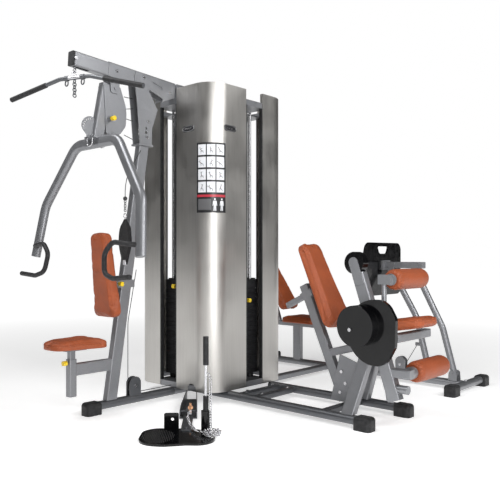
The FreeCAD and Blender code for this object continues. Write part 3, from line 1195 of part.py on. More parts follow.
def make_panels():
    """The picture placard round the front cover's corner and two plain oval badges."""
    radius, centre = size("cover_corner"), size("tower_half") - size("cover_corner")
    body, sketch = new_sketch("placard_sheet")
    low, high = math.radians(-90 + 4), math.radians(-4)
    middle = (low + high) / 2
    rim = []
    for reach in (radius, radius + 3):
        rim.append([Vec(reach * math.cos(turn), reach * math.sin(turn)) for turn in (low, middle, high)])
    sketch.addGeometry([Part.Arc(*rim[0]), Part.LineSegment(rim[0][2], rim[1][2]), Part.Arc(*rim[1]),
                        Part.LineSegment(rim[1][0], rim[0][0])])
    placard = pad_sketch(body, sketch, "placard_tall",
                         FreeCAD.Placement(Vec(centre, -centre, 1288), FreeCAD.Rotation()))
    half = size("tower_half")
    oval = [(-58, -21, 20), (58, -21, 20), (58, 21, 20), (-58, 21, 20)]
    left = plate("badge_left", oval, "cover_sheet", side_plane(176, -half - 1.5, 1868))
    right = plate("badge_right", oval, "cover_sheet", upright_plane(half + 1.5, -214, 1868))
    node(group("info_panels", [placard, left, right]))


def make_cables():
    """Cables where they show: along the press base, up to the low pulley and beside the upright."""
    top = size("base_low") + size("base_deep")
    wrap = size("pulley_radius") + 3
    low_y, low_z = -728, top + 62
    along = bent_rod("low_cable", [(0, -400, low_z - wrap, 0), (0, low_y - wrap, low_z - wrap, wrap),
                                   (0, low_y - wrap, 560, 300), (0, -706, 905, 0)], "cable_radius")
    strap_line = bent_rod("strap_cable", [(*(STRAP_AT + Z_AXIS * 96), 0), (*(STRAP_AT + Z_AXIS * 240), 300),
                                          (28, -690, 1700, 0)], "cable_radius")
    ball = doc.addObject("Part::Sphere", "cable_ball")
    ball.Radius = 14
    ball.Placement.Base = STRAP_AT + Z_AXIS * 106
    links = chain_run("strap", [STRAP_AT + Z_AXIS * 96, STRAP_AT + Z_AXIS * 20])
    node(group("fixed_cables", [along, fuse("strap_line", [strap_line, ball] + links)]))
    node(rod("lat_cable", LAT_HANG + Z_AXIS * 50, Vec(0, LAT_HANG.y, boom_z(LAT_HANG.y)), "cable_radius"))
    start = LEGPRESS_PULLEY + Vec(39, 0, 8)
    node(rod("legpress_cable", (1052, PRESS_Y, 306), start, "cable_radius"))
    lines = []
    for number, (z, fall) in enumerate(((2040, 0), (1960, 14), (1900, -8), (1790, -20))):
        lines.append(rod(f"lever_line_{number}", (0, -806, z), (0, -736, z + fall), "cable_radius"))
    node(group("lever_cables", lines))


def check():
    """Stop on any failed object or any node that is not a valid shape."""
    doc.recompute()
    for thing in doc.Objects:
        if "Invalid" in thing.State or "Error" in thing.State:
            raise SystemExit(f"{thing.Name} failed: {thing.State}")
    for thing in nodes:
        if thing.Shape.isNull() or not thing.Shape.isValid() or not thing.Shape.Solids:
            raise SystemExit(f"{thing.Label} has no valid shape")


def main():
    fill_sheet()
    make_covers()
    make_tower_frame()
    make_guide_rods()
    make_stacks()
    press_base = make_press_base()
    make_press_upright()
    make_boom()
    make_gussets()
    make_press_arm()
    make_press_grips()
    spring_pin("arm_pin", ARM_PIN, X_AXIS)
    make_lat_bar()
    make_press_pulleys()
    make_press_seat()
    make_press_back()
    make_ab_strap()
    swivel = make_row_channel()
    make_foot_platform()
    make_row_bar(swivel)
    node(group("base_tubes", [press_base, make_leg_base()]))
    make_leg_frame()
    make_leg_seat()
    make_leg_back()
    make_leg_arm()
    roller("shin_roller", SHIN_ROLLER)
    roller("thigh_roller", THIGH_ROLLER)
    make_legpress_frame()
    make_legpress_arms()
    pulley("legpress_pulley", LEGPRESS_PULLEY, Y_AXIS)
    make_legpress_pads()
    make_caps()
    make_bolts()
    make_panels()
    make_cables()
    check()
    os.makedirs("parts", exist_ok=True)
    for thing in nodes:
        thing.Shape.exportStep(f"parts/{thing.Label}.step")
    print(len(nodes), "nodes")


main()
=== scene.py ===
import json
import math

import bmesh
import bpy
import numpy as np
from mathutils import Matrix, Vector


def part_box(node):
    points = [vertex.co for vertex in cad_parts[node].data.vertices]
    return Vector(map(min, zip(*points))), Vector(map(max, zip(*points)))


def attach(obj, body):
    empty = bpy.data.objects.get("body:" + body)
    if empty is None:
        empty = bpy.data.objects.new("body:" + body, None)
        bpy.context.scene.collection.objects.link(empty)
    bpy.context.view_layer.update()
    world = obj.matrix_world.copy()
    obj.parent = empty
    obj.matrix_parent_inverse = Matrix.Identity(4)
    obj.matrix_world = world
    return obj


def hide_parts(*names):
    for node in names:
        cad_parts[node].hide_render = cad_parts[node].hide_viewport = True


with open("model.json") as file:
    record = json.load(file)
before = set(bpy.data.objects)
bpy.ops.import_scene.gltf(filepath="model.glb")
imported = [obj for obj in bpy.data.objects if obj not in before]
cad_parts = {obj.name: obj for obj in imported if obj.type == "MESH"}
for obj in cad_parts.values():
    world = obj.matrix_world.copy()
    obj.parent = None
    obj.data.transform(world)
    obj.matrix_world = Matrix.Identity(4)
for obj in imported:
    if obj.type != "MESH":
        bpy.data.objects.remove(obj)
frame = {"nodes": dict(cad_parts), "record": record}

# Looks of the multi station gym. Metres, +Z up, in the CAD model's own frame.

nodes = frame["nodes"]
scene = bpy.context.scene
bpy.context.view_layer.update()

X_AXIS, Y_AXIS, Z_AXIS = Vector((1, 0, 0)), Vector((0, 1, 0)), Vector((0, 0, 1))


# ---- materials ----

class Finish:
    """One procedural material: its principled shader and short calls for the nodes that feed it."""

    def __init__(self, name, **values):
        self.material = bpy.data.materials.new(name)
        self.material.use_nodes = True
        self.tree = self.material.node_tree
        self.shader = self.tree.nodes["Principled BSDF"]
        self.place = self.node("ShaderNodeTexCoord").outputs["Object"]
        self.feed(self.shader, **values)

    def node(self, kind, **fields):
        made = self.tree.nodes.new(kind)
        for field, value in fields.items():
            setattr(made, field, value)
        return made

    def feed(self, node, **values):
        """Each value, or the socket it comes from, goes to the input of that name."""
        for name, value in values.items():
            socket = node.inputs[name.replace("_", " ")]
            if isinstance(value, bpy.types.NodeSocket):
                self.tree.links.new(value, socket)
            else:
                socket.default_value = (*value, 1) if isinstance(value, tuple) and len(value) == 3 \
                    and socket.type == "RGBA" else value

    def stretched(self, along):
        mapping = self.node("ShaderNodeMapping")
        self.feed(mapping, Vector=self.place, Scale=along)
        return mapping.outputs["Vector"]

    def grain(self, scale, detail=3.0, along=None):
        """Smooth noise from 0 to 1, with scale in features per metre."""
        texture = self.node("ShaderNodeTexNoise")
        self.feed(texture, Vector=self.stretched(along) if along else self.place, Scale=scale, Detail=detail)
        return texture.outputs["Fac"]

    def cells(self, scale, feature="F1", output="Distance"):
        texture = self.node("ShaderNodeTexVoronoi", feature=feature)
        self.feed(texture, Vector=self.place, Scale=scale)
        return texture.outputs[output]

    def spread(self, value, from_low, from_high, low, high):
        remap = self.node("ShaderNodeMapRange")
        self.feed(remap, Value=value, From_Min=from_low, From_Max=from_high, To_Min=low, To_Max=high)
        return remap.outputs["Result"]

    def maths(self, operation, first, second=0.0):
        sums = self.node("ShaderNodeMath", operation=operation)
        for socket, value in zip(sums.inputs, (first, second)):
            if isinstance(value, bpy.types.NodeSocket):
                self.tree.links.new(value, socket)
            else:
                socket.default_value = value
        return sums.outputs["Value"]

    def blend(self, factor, low, high):
        """A colour between low and high."""
        mixer = self.node("ShaderNodeMix", data_type="RGBA")
        for socket, value in ((mixer.inputs[0], factor), (mixer.inputs[6], low), (mixer.inputs[7], high)):
            if isinstance(value, bpy.types.NodeSocket):
                self.tree.links.new(value, socket)
            else:
                socket.default_value = (*value, 1) if isinstance(value, tuple) else value
        return mixer.outputs[2]

    def bump(self, height, depth, strength=1.0, under=None):
        """A normal from a height of 0 to 1 that stands for that many metres."""
        bumper = self.node("ShaderNodeBump")
        self.feed(bumper, Height=height, Distance=depth, Strength=strength)
        if under is not None:
            self.tree.links.new(under, bumper.inputs["Normal"])
        return bumper.outputs["Normal"]

    def edges(self, radius):
        """(a normal that rounds sharp edges by radius, how much each point is on an edge)."""
        bevel = self.node("ShaderNodeBevel", samples=4)
        self.feed(bevel, Radius=radius)
        dot = self.node("ShaderNodeVectorMath", operation="DOT_PRODUCT")
        self.tree.links.new(bevel.outputs["Normal"], dot.inputs[0])
        self.tree.links.new(self.node("ShaderNodeNewGeometry").outputs["Normal"], dot.inputs[1])
        return bevel.outputs["Normal"], self.spread(dot.outputs["Value"], 0.995, 0.85, 0.0, 1.0)

    def done(self, **values):
        self.feed(self.shader, **values)
        return self.material


def scaled(colour, factor):
    return tuple(channel * factor for channel in colour)


def metal_paint(name, colour, metallic=0.62):
    """Powder paint with metal flake: sparkle, slight orange peel, edges rubbed lighter."""
    paint = Finish(name, Metallic=metallic, Coat_Weight=0.12, Coat_Roughness=0.3)
    flake = paint.spread(paint.cells(1500, output="Color"), 0.1, 0.9, 0.0, 1.0)
    tone = paint.blend(flake, scaled(colour, 0.86), scaled(colour, 1.16))
    cloud = paint.spread(paint.grain(5, 4), 0.35, 0.65, 0.0, 0.3)
    tone = paint.blend(cloud, tone, scaled(colour, 0.8))
    rounded, edge = paint.edges(0.0018)
    worn = paint.maths("MULTIPLY", edge, paint.spread(paint.grain(60, 5), 0.42, 0.7, 0.0, 0.8))
    tone = paint.blend(worn, tone, scaled(colour, 1.7))
    normal = paint.bump(paint.grain(260, 2), 0.00035, 0.5, rounded)
    rough = paint.spread(paint.grain(34, 5), 0.3, 0.7, 0.34, 0.47)
    return paint.done(Base_Color=tone, Roughness=rough, Normal=normal)


def brushed_steel(name, colour):
    """Stainless sheet brushed up and down, with faint handling marks."""
    steel = Finish(name, Metallic=1.0, Anisotropic=0.55)
    strokes = steel.grain(1.0, 3, (1500, 1500, 7))
    long_strokes = steel.grain(1.0, 2, (260, 260, 1.2))
    marks = steel.grain(4.5, 6)
    tone = steel.blend(steel.spread(strokes, 0.3, 0.7, 0, 1), scaled(colour, 0.88), scaled(colour, 1.1))
    tone = steel.blend(steel.spread(long_strokes, 0.35, 0.65, 0, 0.4), tone, scaled(colour, 0.84))
    rough = steel.maths("ADD", steel.spread(strokes, 0.3, 0.7, 0.27, 0.39),
                        steel.spread(marks, 0.4, 0.65, 0.0, 0.07))
    around = steel.node("ShaderNodeTangent", direction_type="RADIAL", axis="Z")
    return steel.done(Base_Color=tone, Roughness=rough, Tangent=around.outputs["Tangent"],
                      Normal=steel.bump(strokes, 0.00012, 0.35))


def bright_metal(name, colour, rough=0.14):
    """Plated or polished metal with hairline scratches and dull spots."""
    metal = Finish(name, Metallic=1.0)
    spots = metal.grain(90, 6)
    rounded, edge = metal.edges(0.0008)
    tone = metal.blend(metal.spread(spots, 0.45, 0.7, 0.0, 0.5), colour, scaled(colour, 0.72))
    worn = metal.spread(metal.grain(400, 3), 0.35, 0.7, rough, rough + 0.16)
    scratched = metal.bump(metal.grain(700, 2), 0.0001, 0.4, rounded)
    return metal.done(Base_Color=tone, Roughness=worn, Normal=scratched)


def cast_iron(name):
    """Black stove-painted casting: rough skin, rubbed edges."""
    iron = Finish(name, Metallic=0.25, Specular_IOR_Level=0.4)
    skin = iron.grain(520, 5)
    rounded, edge = iron.edges(0.0025)
    tone = iron.blend(iron.spread(iron.grain(30, 5), 0.35, 0.7, 0, 1),
                      (0.009, 0.009, 0.010), (0.024, 0.024, 0.026))
    tone = iron.blend(iron.maths("MULTIPLY", edge, 0.35), tone, (0.09, 0.09, 0.095))
    return iron.done(Base_Color=tone, Roughness=iron.spread(skin, 0.3, 0.7, 0.44, 0.66),
                     Normal=iron.bump(skin, 0.0008, 0.55, rounded))


def gloss_black(name):
    """Moulded gloss black plastic: a slight ripple, fine swirl marks, dust."""
    gloss = Finish(name, Coat_Weight=0.35, Coat_Roughness=0.04, Specular_IOR_Level=0.22)
    dust = gloss.grain(160, 8)
    rounded, _ = gloss.edges(0.003)
    tone = gloss.blend(gloss.spread(dust, 0.5, 0.8, 0, 0.5), (0.002, 0.002, 0.0025), (0.009, 0.009, 0.01))
    rough = gloss.spread(gloss.grain(22, 8), 0.3, 0.72, 0.1, 0.26)
    rippled = gloss.bump(gloss.grain(38, 1), 0.0006, 0.18, rounded)
    return gloss.done(Base_Color=tone, Roughness=rough, Normal=rippled)


def rubber(name, colour=(0.014, 0.014, 0.015)):
    """Matt black rubber or foam: fine pores and a paler bloom."""
    soft = Finish(name, Specular_IOR_Level=0.3, Sheen_Weight=0.08, Sheen_Roughness=0.5)
    pores = soft.cells(900)
    rounded, _ = soft.edges(0.0015)
    tone = soft.blend(soft.spread(soft.grain(46, 6), 0.4, 0.7, 0, 1), colour, scaled(colour, 2.1))
    return soft.done(Base_Color=tone, Roughness=soft.spread(pores, 0.1, 0.6, 0.72, 0.5),
                     Normal=soft.bump(pores, 0.0005, 0.5, rounded))


def leather(name, colour):
    """Coated upholstery leather: pebbled grain in two sizes, soft mottling, rubbed high spots."""
    hide = Finish(name, Sheen_Weight=0.06, Sheen_Roughness=0.4, Specular_IOR_Level=0.42)
    pebble = hide.cells(620, "DISTANCE_TO_EDGE")
    fine = hide.grain(1900, 3)
    crease = hide.spread(hide.cells(75, "DISTANCE_TO_EDGE"), 0.0, 0.12, 0.0, 1.0)
    mottle = hide.spread(hide.grain(11, 6), 0.35, 0.68, 0.0, 1.0)
    tone = hide.blend(mottle, scaled(colour, 0.86), scaled(colour, 1.08))
    tone = hide.blend(hide.spread(pebble, 0.0, 0.12, 0.42, 0.0), tone, scaled(colour, 0.5))
    worn = hide.spread(hide.grain(3.2, 3), 0.52, 0.75, 0.0, 0.3)
    tone = hide.blend(worn, tone, scaled(colour, 1.25))
    height = hide.maths("ADD", hide.spread(pebble, 0.0, 0.2, 0.0, 0.75), hide.maths("MULTIPLY", fine, 0.25))
    normal = hide.bump(crease, 0.0004, 0.12, hide.bump(height, 0.0006, 0.5))
    rough = hide.maths("ADD", hide.spread(pebble, 0.0, 0.25, 0.52, 0.4), hide.maths("MULTIPLY", mottle, 0.07))
    return hide.done(Base_Color=tone, Roughness=rough, Normal=normal)


def webbing(name):
    """Black woven strap: over-and-under ribs with a soft nap."""
    weave = Finish(name, Sheen_Weight=0.15, Specular_IOR_Level=0.25)
    ribs = []
    for axis, scale in (("X", 140), ("Z", 210)):
        wave = weave.node("ShaderNodeTexWave", wave_type="BANDS", bands_direction=axis)
        weave.feed(wave, Vector=weave.place, Scale=scale, Distortion=0.4)
        ribs.append(wave.outputs["Fac"])
    height = weave.maths("MULTIPLY", *ribs)
    fuzz = weave.grain(900, 4)
    tone = weave.blend(weave.maths("MULTIPLY", height, fuzz), (0.006, 0.006, 0.007), (0.045, 0.045, 0.048))
    return weave.done(Base_Color=tone, Roughness=weave.spread(fuzz, 0.3, 0.7, 0.7, 0.9),
                      Normal=weave.bump(height, 0.0012, 0.7))


def plastic(name, colour, rough=0.32):
    """Moulded coloured plastic with a fine spark-eroded skin."""
    mould = Finish(name, Subsurface_Weight=0.05, Coat_Weight=0.15)
    skin = mould.grain(650, 4)
    tone = mould.blend(mould.spread(mould.grain(60, 4), 0.35, 0.7, 0, 1), scaled(colour, 0.85), colour)
    rounded, _ = mould.edges(0.002)
    return mould.done(Base_Color=tone, Roughness=mould.spread(skin, 0.3, 0.7, rough, rough + 0.14),
                      Normal=mould.bump(skin, 0.0003, 0.4, rounded))


def cable_skin(name):
    """Black nylon over wire rope: the strands show as a shallow twist."""
    skin = Finish(name, Coat_Weight=0.3)
    wave = skin.node("ShaderNodeTexWave", wave_type="BANDS", bands_direction="DIAGONAL")
    skin.feed(wave, Vector=skin.place, Scale=160)
    tone = skin.blend(wave.outputs["Fac"], (0.012, 0.012, 0.013), (0.03, 0.03, 0.032))
    return skin.done(Base_Color=tone, Roughness=skin.spread(skin.grain(300), 0.3, 0.7, 0.28, 0.5),
                     Normal=skin.bump(wave.outputs["Fac"], 0.0006, 0.5))


def printed(name, colour):
    """Ink on a laminated card: paper fleck under a clear film."""
    card = Finish(name, Coat_Weight=0.35, Coat_Roughness=0.15)
    fleck = card.grain(420, 5)
    tone = card.blend(card.spread(fleck, 0.35, 0.7, 0, 1), scaled(colour, 0.88), colour)
    return card.done(Base_Color=tone, Roughness=card.spread(card.grain(60), 0.3, 0.7, 0.3, 0.45),
                     Normal=card.bump(fleck, 0.0002, 0.2))


SILVER = metal_paint("silver_paint", (0.27, 0.275, 0.29))
DARK = metal_paint("dark_paint", (0.12, 0.125, 0.135))
STEEL = brushed_steel("brushed_steel", (0.58, 0.565, 0.54))
CHROME = bright_metal("chrome", (0.64, 0.64, 0.66))
COPPER = bright_metal("copper_plate", (0.76, 0.42, 0.24), 0.2)
IRON = cast_iron("stack_casting")
GLOSS = gloss_black("gloss_black")
RUBBER = rubber("black_rubber")
LEATHER = leather("saddle_leather", (0.36, 0.078, 0.022))
THREAD = leather("seam_thread", (0.5, 0.17, 0.07))
STRAP = webbing("strap_web")
YELLOW = plastic("yellow_knob", (0.9, 0.62, 0.015))
CABLE = cable_skin("cable_skin")
CARD = printed("card_white", (0.78, 0.79, 0.82))
INK = printed("card_black", (0.012, 0.012, 0.014))
RED = printed("card_red", (0.5, 0.03, 0.05))
GREY = printed("card_grey", (0.12, 0.12, 0.125))

SLOT_FINISH = {
    "silver_paint": SILVER, "dark_paint": DARK, "steel_cover": STEEL, "chrome": CHROME, "cast_plate": IRON,
    "black_gloss": GLOSS, "black_rubber": RUBBER, "leather": LEATHER, "knob": YELLOW, "cable_skin": CABLE,
    "placard": INK, "strap_web": STRAP,
}


def dress_nodes():
    """Every carried-over CAD node takes its slot's finish."""
    for part in frame["record"]["subparts"]:
        mesh = nodes[part["node"]].data
        mesh.materials.clear()
        mesh.materials.append(SLOT_FINISH[part["material_slot"]])


def repaint(node, finish, where):
    """The node's faces whose centre passes the test where take another finish."""
    mesh = nodes[node].data
    mesh.materials.append(finish)
    index = len(mesh.materials) - 1
    for face in mesh.polygons:
        if where(face.center):
            face.material_index = index


# ---- light, floor and camera ----

def area_light(name, place, target, width, tall, power, colour=(1, 1, 1)):
    lamp = bpy.data.lights.new(name, "AREA")
    lamp.shape = "RECTANGLE"
    lamp.size, lamp.size_y = width, tall
    lamp.energy = power
    lamp.color = colour
    holder = bpy.data.objects.new(name, lamp)
    scene.collection.objects.link(holder)
    holder.location = place
    holder.rotation_euler = (Vector(target) - Vector(place)).to_track_quat("-Z", "Y").to_euler()


def make_studio():
    """A pale sweep of floor that glows as painted light, more strongly further out, a bright dome that is dimmer to
    the left, and soft boxes.
    """
    world = bpy.data.worlds.new("studio")
    scene.world = world
    world.use_nodes = True
    tree = world.node_tree
    sky = tree.nodes["Background"]
    coords = tree.nodes.new("ShaderNodeTexCoord")
    side = tree.nodes.new("ShaderNodeVectorMath")
    side.operation = "DOT_PRODUCT"
    side.inputs[1].default_value = (0.52, 0.42, 0.62)
    tree.links.new(coords.outputs["Generated"], side.inputs[0])
    level = tree.nodes.new("ShaderNodeMapRange")
    level.inputs["From Min"].default_value = -0.75
    level.inputs["From Max"].default_value = 0.8
    level.inputs["To Min"].default_value = 0.3
    level.inputs["To Max"].default_value = 0.82
    tree.links.new(side.outputs["Value"], level.inputs["Value"])
    tree.links.new(level.outputs["Result"], sky.inputs["Strength"])
    white = tree.nodes.new("ShaderNodeBackground")
    white.inputs["Color"].default_value = (1, 1, 1, 1)
    seen = tree.nodes.new("ShaderNodeLightPath")
    choose = tree.nodes.new("ShaderNodeMixShader")
    tree.links.new(seen.outputs["Is Camera Ray"], choose.inputs[0])
    tree.links.new(sky.outputs[0], choose.inputs[1])
    tree.links.new(white.outputs[0], choose.inputs[2])
    tree.links.new(choose.outputs[0], tree.nodes["World Output"].inputs["Surface"])

    area_light("key_box", (4.6, 0.2, 3.6), (0.3, 0, 0.8), 2.2, 2.2, 125)
    area_light("front_box", (3.5, -2.3, 1.5), (0.37, -0.37, 1.2), 1.5, 2.9, 66)
    area_light("top_box", (-0.5, -2.6, 4.4), (0.2, 0, 1.0), 2.4, 1.8, 110)

    mesh = bpy.data.meshes.new("floor")
    plan = bmesh.new()
    bmesh.ops.create_circle(plan, cap_ends=True, segments=96, radius=45)
    plan.to_mesh(mesh)
    floor = bpy.data.objects.new("floor", mesh)
    scene.collection.objects.link(floor)
    paint = Finish("studio_floor", Specular_IOR_Level=0.1)
    tone = paint.blend(paint.grain(2.0, 4), (0.79, 0.79, 0.79), (0.83, 0.83, 0.83))
    # Painted light: the floor glows at half strength within 2 m of the centre, rising to full strength 7 m out. This
    # fades it into the white background and lifts the shade under the machine.
    reach = paint.node("ShaderNodeVectorMath", operation="LENGTH")
    paint.feed(reach, Vector=paint.place)
    glow = paint.spread(reach.outputs["Value"], 2.0, 7.0, 0.5, 1.0)
    mesh.materials.append(paint.done(Base_Color=tone, Roughness=0.75, Emission_Color=(1.0, 1.0, 1.0),
                                     Emission_Strength=glow))


def make_camera():
    lens = bpy.data.cameras.new("view")
    lens.lens, lens.sensor_width = 46.4, 36
    lens.shift_y = 0.0108
    camera = bpy.data.objects.new("view", lens)
    scene.collection.objects.link(camera)
    camera.location = (3.452, -3.386, 1.0)
    camera.rotation_euler = Vector((-0.6713, 0.7412, 0)).to_track_quat("-Z", "Y").to_euler()
    scene.camera = camera
    scene.view_settings.view_transform = "Standard"


# ---- padded pieces ----

VOXEL = 0.0055          # size of a pad's remeshed faces
FRAMES = 20             # how long each pad is blown up for
DRAWN_IN = 0.0035       # how far a pad starts inside its CAD solid
HELD_DEPTH = 0.008      # the slice at a pad's back that stays on its board
PRESSURE = 4
STIFFNESS = 18
WELT_DEPTH = 0.017      # from a pad's face down to its welt


def new_piece(name, mesh, finish, body):
    piece = bpy.data.objects.new(name, mesh)
    scene.collection.objects.link(piece)
    piece.data.materials.clear()
    piece.data.materials.append(finish)
    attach(piece, body)
    return piece


def points_of(mesh):
    flat = np.empty(len(mesh.vertices) * 3, np.float32)
    mesh.vertices.foreach_get("co", flat)
    return flat.reshape(-1, 3)


def normals_of(mesh):
    flat = np.empty(len(mesh.vertices) * 3, np.float32)
    mesh.vertex_normals.foreach_get("vector", flat)
    return flat.reshape(-1, 3)


def put_points(mesh, points):
    mesh.vertices.foreach_set("co", np.ascontiguousarray(points, np.float32).ravel())
    mesh.update()


def baked(piece):
    """The piece's mesh with its modifiers applied."""
    evaluated = piece.evaluated_get(bpy.context.evaluated_depsgraph_get())
    mesh = bpy.data.meshes.new_from_object(evaluated)
    piece.modifiers.clear()
    piece.data = mesh
    return mesh


class Pad:
    """A stuffed pad that starts from its CAD solid: remeshed, drawn in a little, then blown up by cloth."""

    def __init__(self, name, node, body, out, cap, finish=LEATHER, slot="leather", voxel=VOXEL, mesh=None):
        self.node, self.out, self.cap = node, Vector(out).normalized(), cap
        self.piece = new_piece(name, mesh or nodes[node].data.copy(), finish, body)
        remesh = self.piece.modifiers.new("remesh", "REMESH")
        remesh.mode = "VOXEL"
        remesh.voxel_size = voxel
        remesh.use_smooth_shade = True
        smooth = self.piece.modifiers.new("smooth", "SMOOTH")
        smooth.factor, smooth.iterations = 0.5, 4
        mesh = baked(self.piece)
        self.start = points_of(mesh)
        depth = self.start @ np.array(self.out)
        self.face, self.back = depth.max(), depth.min()
        self.start = self.start - normals_of(mesh) * DRAWN_IN
        put_points(mesh, self.start)
        self.add_cloth(depth)

    def add_cloth(self, depth):
        group = self.piece.vertex_groups.new(name="held")
        held = np.nonzero(depth < self.back + HELD_DEPTH)[0]
        group.add([int(index) for index in held], 1.0, "REPLACE")
        cloth = self.piece.modifiers.new("cloth", "CLOTH")
        cloth.settings.quality = 4
        cloth.settings.mass = 0.25
        cloth.settings.tension_stiffness = STIFFNESS
        cloth.settings.compression_stiffness = STIFFNESS
        cloth.settings.shear_stiffness = 8
        cloth.settings.bending_stiffness = 1.2
        cloth.settings.use_pressure = True
        cloth.settings.uniform_pressure_force = PRESSURE
        cloth.settings.effector_weights.gravity = 0
        cloth.settings.vertex_group_mass = "held"
        cloth.point_cache.frame_start, cloth.point_cache.frame_end = 1, FRAMES

    def settle(self):
        """Keep the blown-up shape within the cap, and smooth it by one subdivision."""
        grown = points_of(baked(self.piece)) - self.start
        reach = np.linalg.norm(grown, axis=1, keepdims=True)
        grown = grown * np.minimum(1.0, self.cap / np.maximum(reach, 1e-6))
        put_points(self.piece.data, self.start + grown)
        finer = self.piece.modifiers.new("finer", "SUBSURF")
        finer.levels = finer.render_levels = 1
        baked(self.piece)
        self.piece.data.shade_smooth()
        self.piece.vertex_groups.clear()
        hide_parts(self.node)


def outline_at(mesh, point, normal):
    """The closed outline where a plane cuts the mesh, as points in order."""
    cut = bmesh.new()
    cut.from_mesh(mesh)
    made = bmesh.ops.bisect_plane(cut, geom=cut.verts[:] + cut.edges[:] + cut.faces[:], dist=1e-6,
                                  plane_co=point, plane_no=normal)
    edges = [item for item in made["geom_cut"] if isinstance(item, bmesh.types.BMEdge)]
    links = {}
    for edge in edges:
        first, second = edge.verts
        links.setdefault(first, []).append(second)
        links.setdefault(second, []).append(first)
    start = max(links, key=lambda vertex: vertex.co.length)
    path, before, here = [start], None, start
    while True:
        onward = [vertex for vertex in links[here] if vertex is not before]
        before, here = here, onward[0]
        if here is start or len(path) > len(links):
            break
        path.append(here)
    points = np.array([vertex.co for vertex in path])
    cut.free()
    return points


def resampled(points, step):
    """A closed line's points, smoothed and spaced evenly about step apart."""
    for _ in range(6):
        points = (points + np.roll(points, 1, 0) + np.roll(points, -1, 0)) / 3
    closed = np.vstack([points, points[:1]])
    along = np.concatenate([[0], np.cumsum(np.linalg.norm(np.diff(closed, axis=0), axis=1))])
    count = max(8, int(round(along[-1] / step)))
    stops = np.linspace(0, along[-1], count, endpoint=False)
    return np.stack([np.interp(stops, along, closed[:, axis]) for axis in range(3)], axis=1)


def tube_mesh(name, runs, radius, sides=8, closed=False):
    """A mesh of round tubes, one along each run of points; open runs have rounded ends."""
    solid = bmesh.new()
    for run in runs:
        run = [Vector(point) for point in run]
        count = len(run)
        rings = []
        lift = None
        for index, point in enumerate(run):
            ahead = run[(index + 1) % count] if closed or index < count - 1 else point
            behind = run[index - 1] if closed or index else point
            way = (ahead - behind).normalized()
            if lift is None:
                lift = way.orthogonal().normalized()
            lift = (lift - way * lift.dot(way)).normalized()
            across = way.cross(lift)
            size = radius * (0.6 if not closed and index in (0, count - 1) else 1.0)
            turns = [math.tau * side / sides for side in range(sides)]
            rings.append([solid.verts.new(point + (lift * math.cos(turn) + across * math.sin(turn)) * size)
                          for turn in turns])
        pairs = list(zip(rings, rings[1:])) + ([(rings[-1], rings[0])] if closed else [])
        for one, two in pairs:
            for side in range(sides):
                after = (side + 1) % sides
                solid.faces.new((one[side], one[after], two[after], two[side]))
        if not closed:
            solid.faces.new(list(reversed(rings[0])))
            solid.faces.new(rings[-1])
    bmesh.ops.recalc_face_normals(solid, faces=solid.faces[:])
    mesh = bpy.data.meshes.new(name)
    solid.to_mesh(mesh)
    solid.free()
    mesh.shade_smooth()
    return mesh


def add_seam(pad, body):
    """A welt round the pad where its face panel meets the side band, with a row of stitches below it."""
    out = np.array(pad.out)
    for label, fall, step in (("welt", WELT_DEPTH, 0.006), ("stitch", WELT_DEPTH + 0.006, 0.0095)):
        point = pad.out * (pad.face - fall)
        line = resampled(outline_at(pad.piece.data, point, pad.out), step)
        name = f"{pad.piece.name}_{label}"
        if label == "welt":
            mesh = tube_mesh(name, [line], 0.0019, closed=True)
            new_piece(name, mesh, LEATHER, body)
            continue
        ahead = np.roll(line, -1, 0)
        side = np.cross(ahead - line, out)
        side /= np.linalg.norm(side, axis=1, keepdims=True)
        centre = line.mean(0)
        side *= np.sign(np.sum((line - centre) * side, axis=1, keepdims=True))
        runs = [[a + s * 0.0002, a * 0.7 + b * 0.3 + s * 0.0007, a * 0.35 + b * 0.65 + s * 0.0002]
                for a, b, s in zip(line, ahead, side)]
        new_piece(name, tube_mesh(name, runs, 0.0006, 6), THREAD, body)


def gather_ends(pad):
    """Pleats the ends of a roller, where its cover is drawn in to the core."""
    low, high = (np.array(corner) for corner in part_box(pad.node))
    centre = (low + high) / 2
    points = points_of(pad.piece.data)
    arm = points - centre
    arm[:, 1] = 0
    radius = np.linalg.norm(arm, axis=1, keepdims=True)
    turn = np.arctan2(arm[:, 2], arm[:, 0])
    end = np.minimum(points[:, 1] - low[1], high[1] - points[:, 1])
    fade = np.clip(1 - end / 0.035, 0, 1) * np.clip((radius[:, 0] - 0.02) / 0.02, 0, 1)
    pleat = (0.5 + 0.5 * np.cos(26 * turn)) ** 2 + 0.25 * np.cos(11 * turn)
    points -= arm / np.maximum(radius, 1e-6) * (0.0042 * fade * pleat)[:, None]
    put_points(pad.piece.data, points)


def strap_blank():
    """The ab strap before it is stuffed: pear shaped, narrow at both ends."""
    low, high = (Vector(corner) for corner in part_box("ab_strap"))
    middle, half = (low.x + high.x) / 2, (high.x - low.x) / 2
    top = high.z - 0.034
    levels = np.linspace(0, 1, 26)
    widths = half * np.interp(levels, (0, 0.06, 0.4, 0.56, 0.8, 0.95, 1),
                              (0.3, 0.42, 0.95, 1, 0.86, 0.36, 0.16))
    heights = low.z + levels * (top - low.z)
    rim = [(middle + wide, tall) for wide, tall in zip(widths, heights)]
    rim += [(middle - wide, tall) for wide, tall in zip(widths[::-1], heights[::-1])]
    solid = bmesh.new()
    face = solid.faces.new([solid.verts.new((x, low.y + 0.001, z)) for x, z in rim])
    raised = bmesh.ops.extrude_face_region(solid, geom=[face])
    moved = [item for item in raised["geom"] if isinstance(item, bmesh.types.BMVert)]
    bmesh.ops.translate(solid, verts=moved, vec=(0, high.y - low.y - 0.002, 0))
    bmesh.ops.recalc_face_normals(solid, faces=solid.faces[:])
    mesh = bpy.data.meshes.new("strap_blank")
    solid.to_mesh(mesh)
    solid.free()
    return mesh


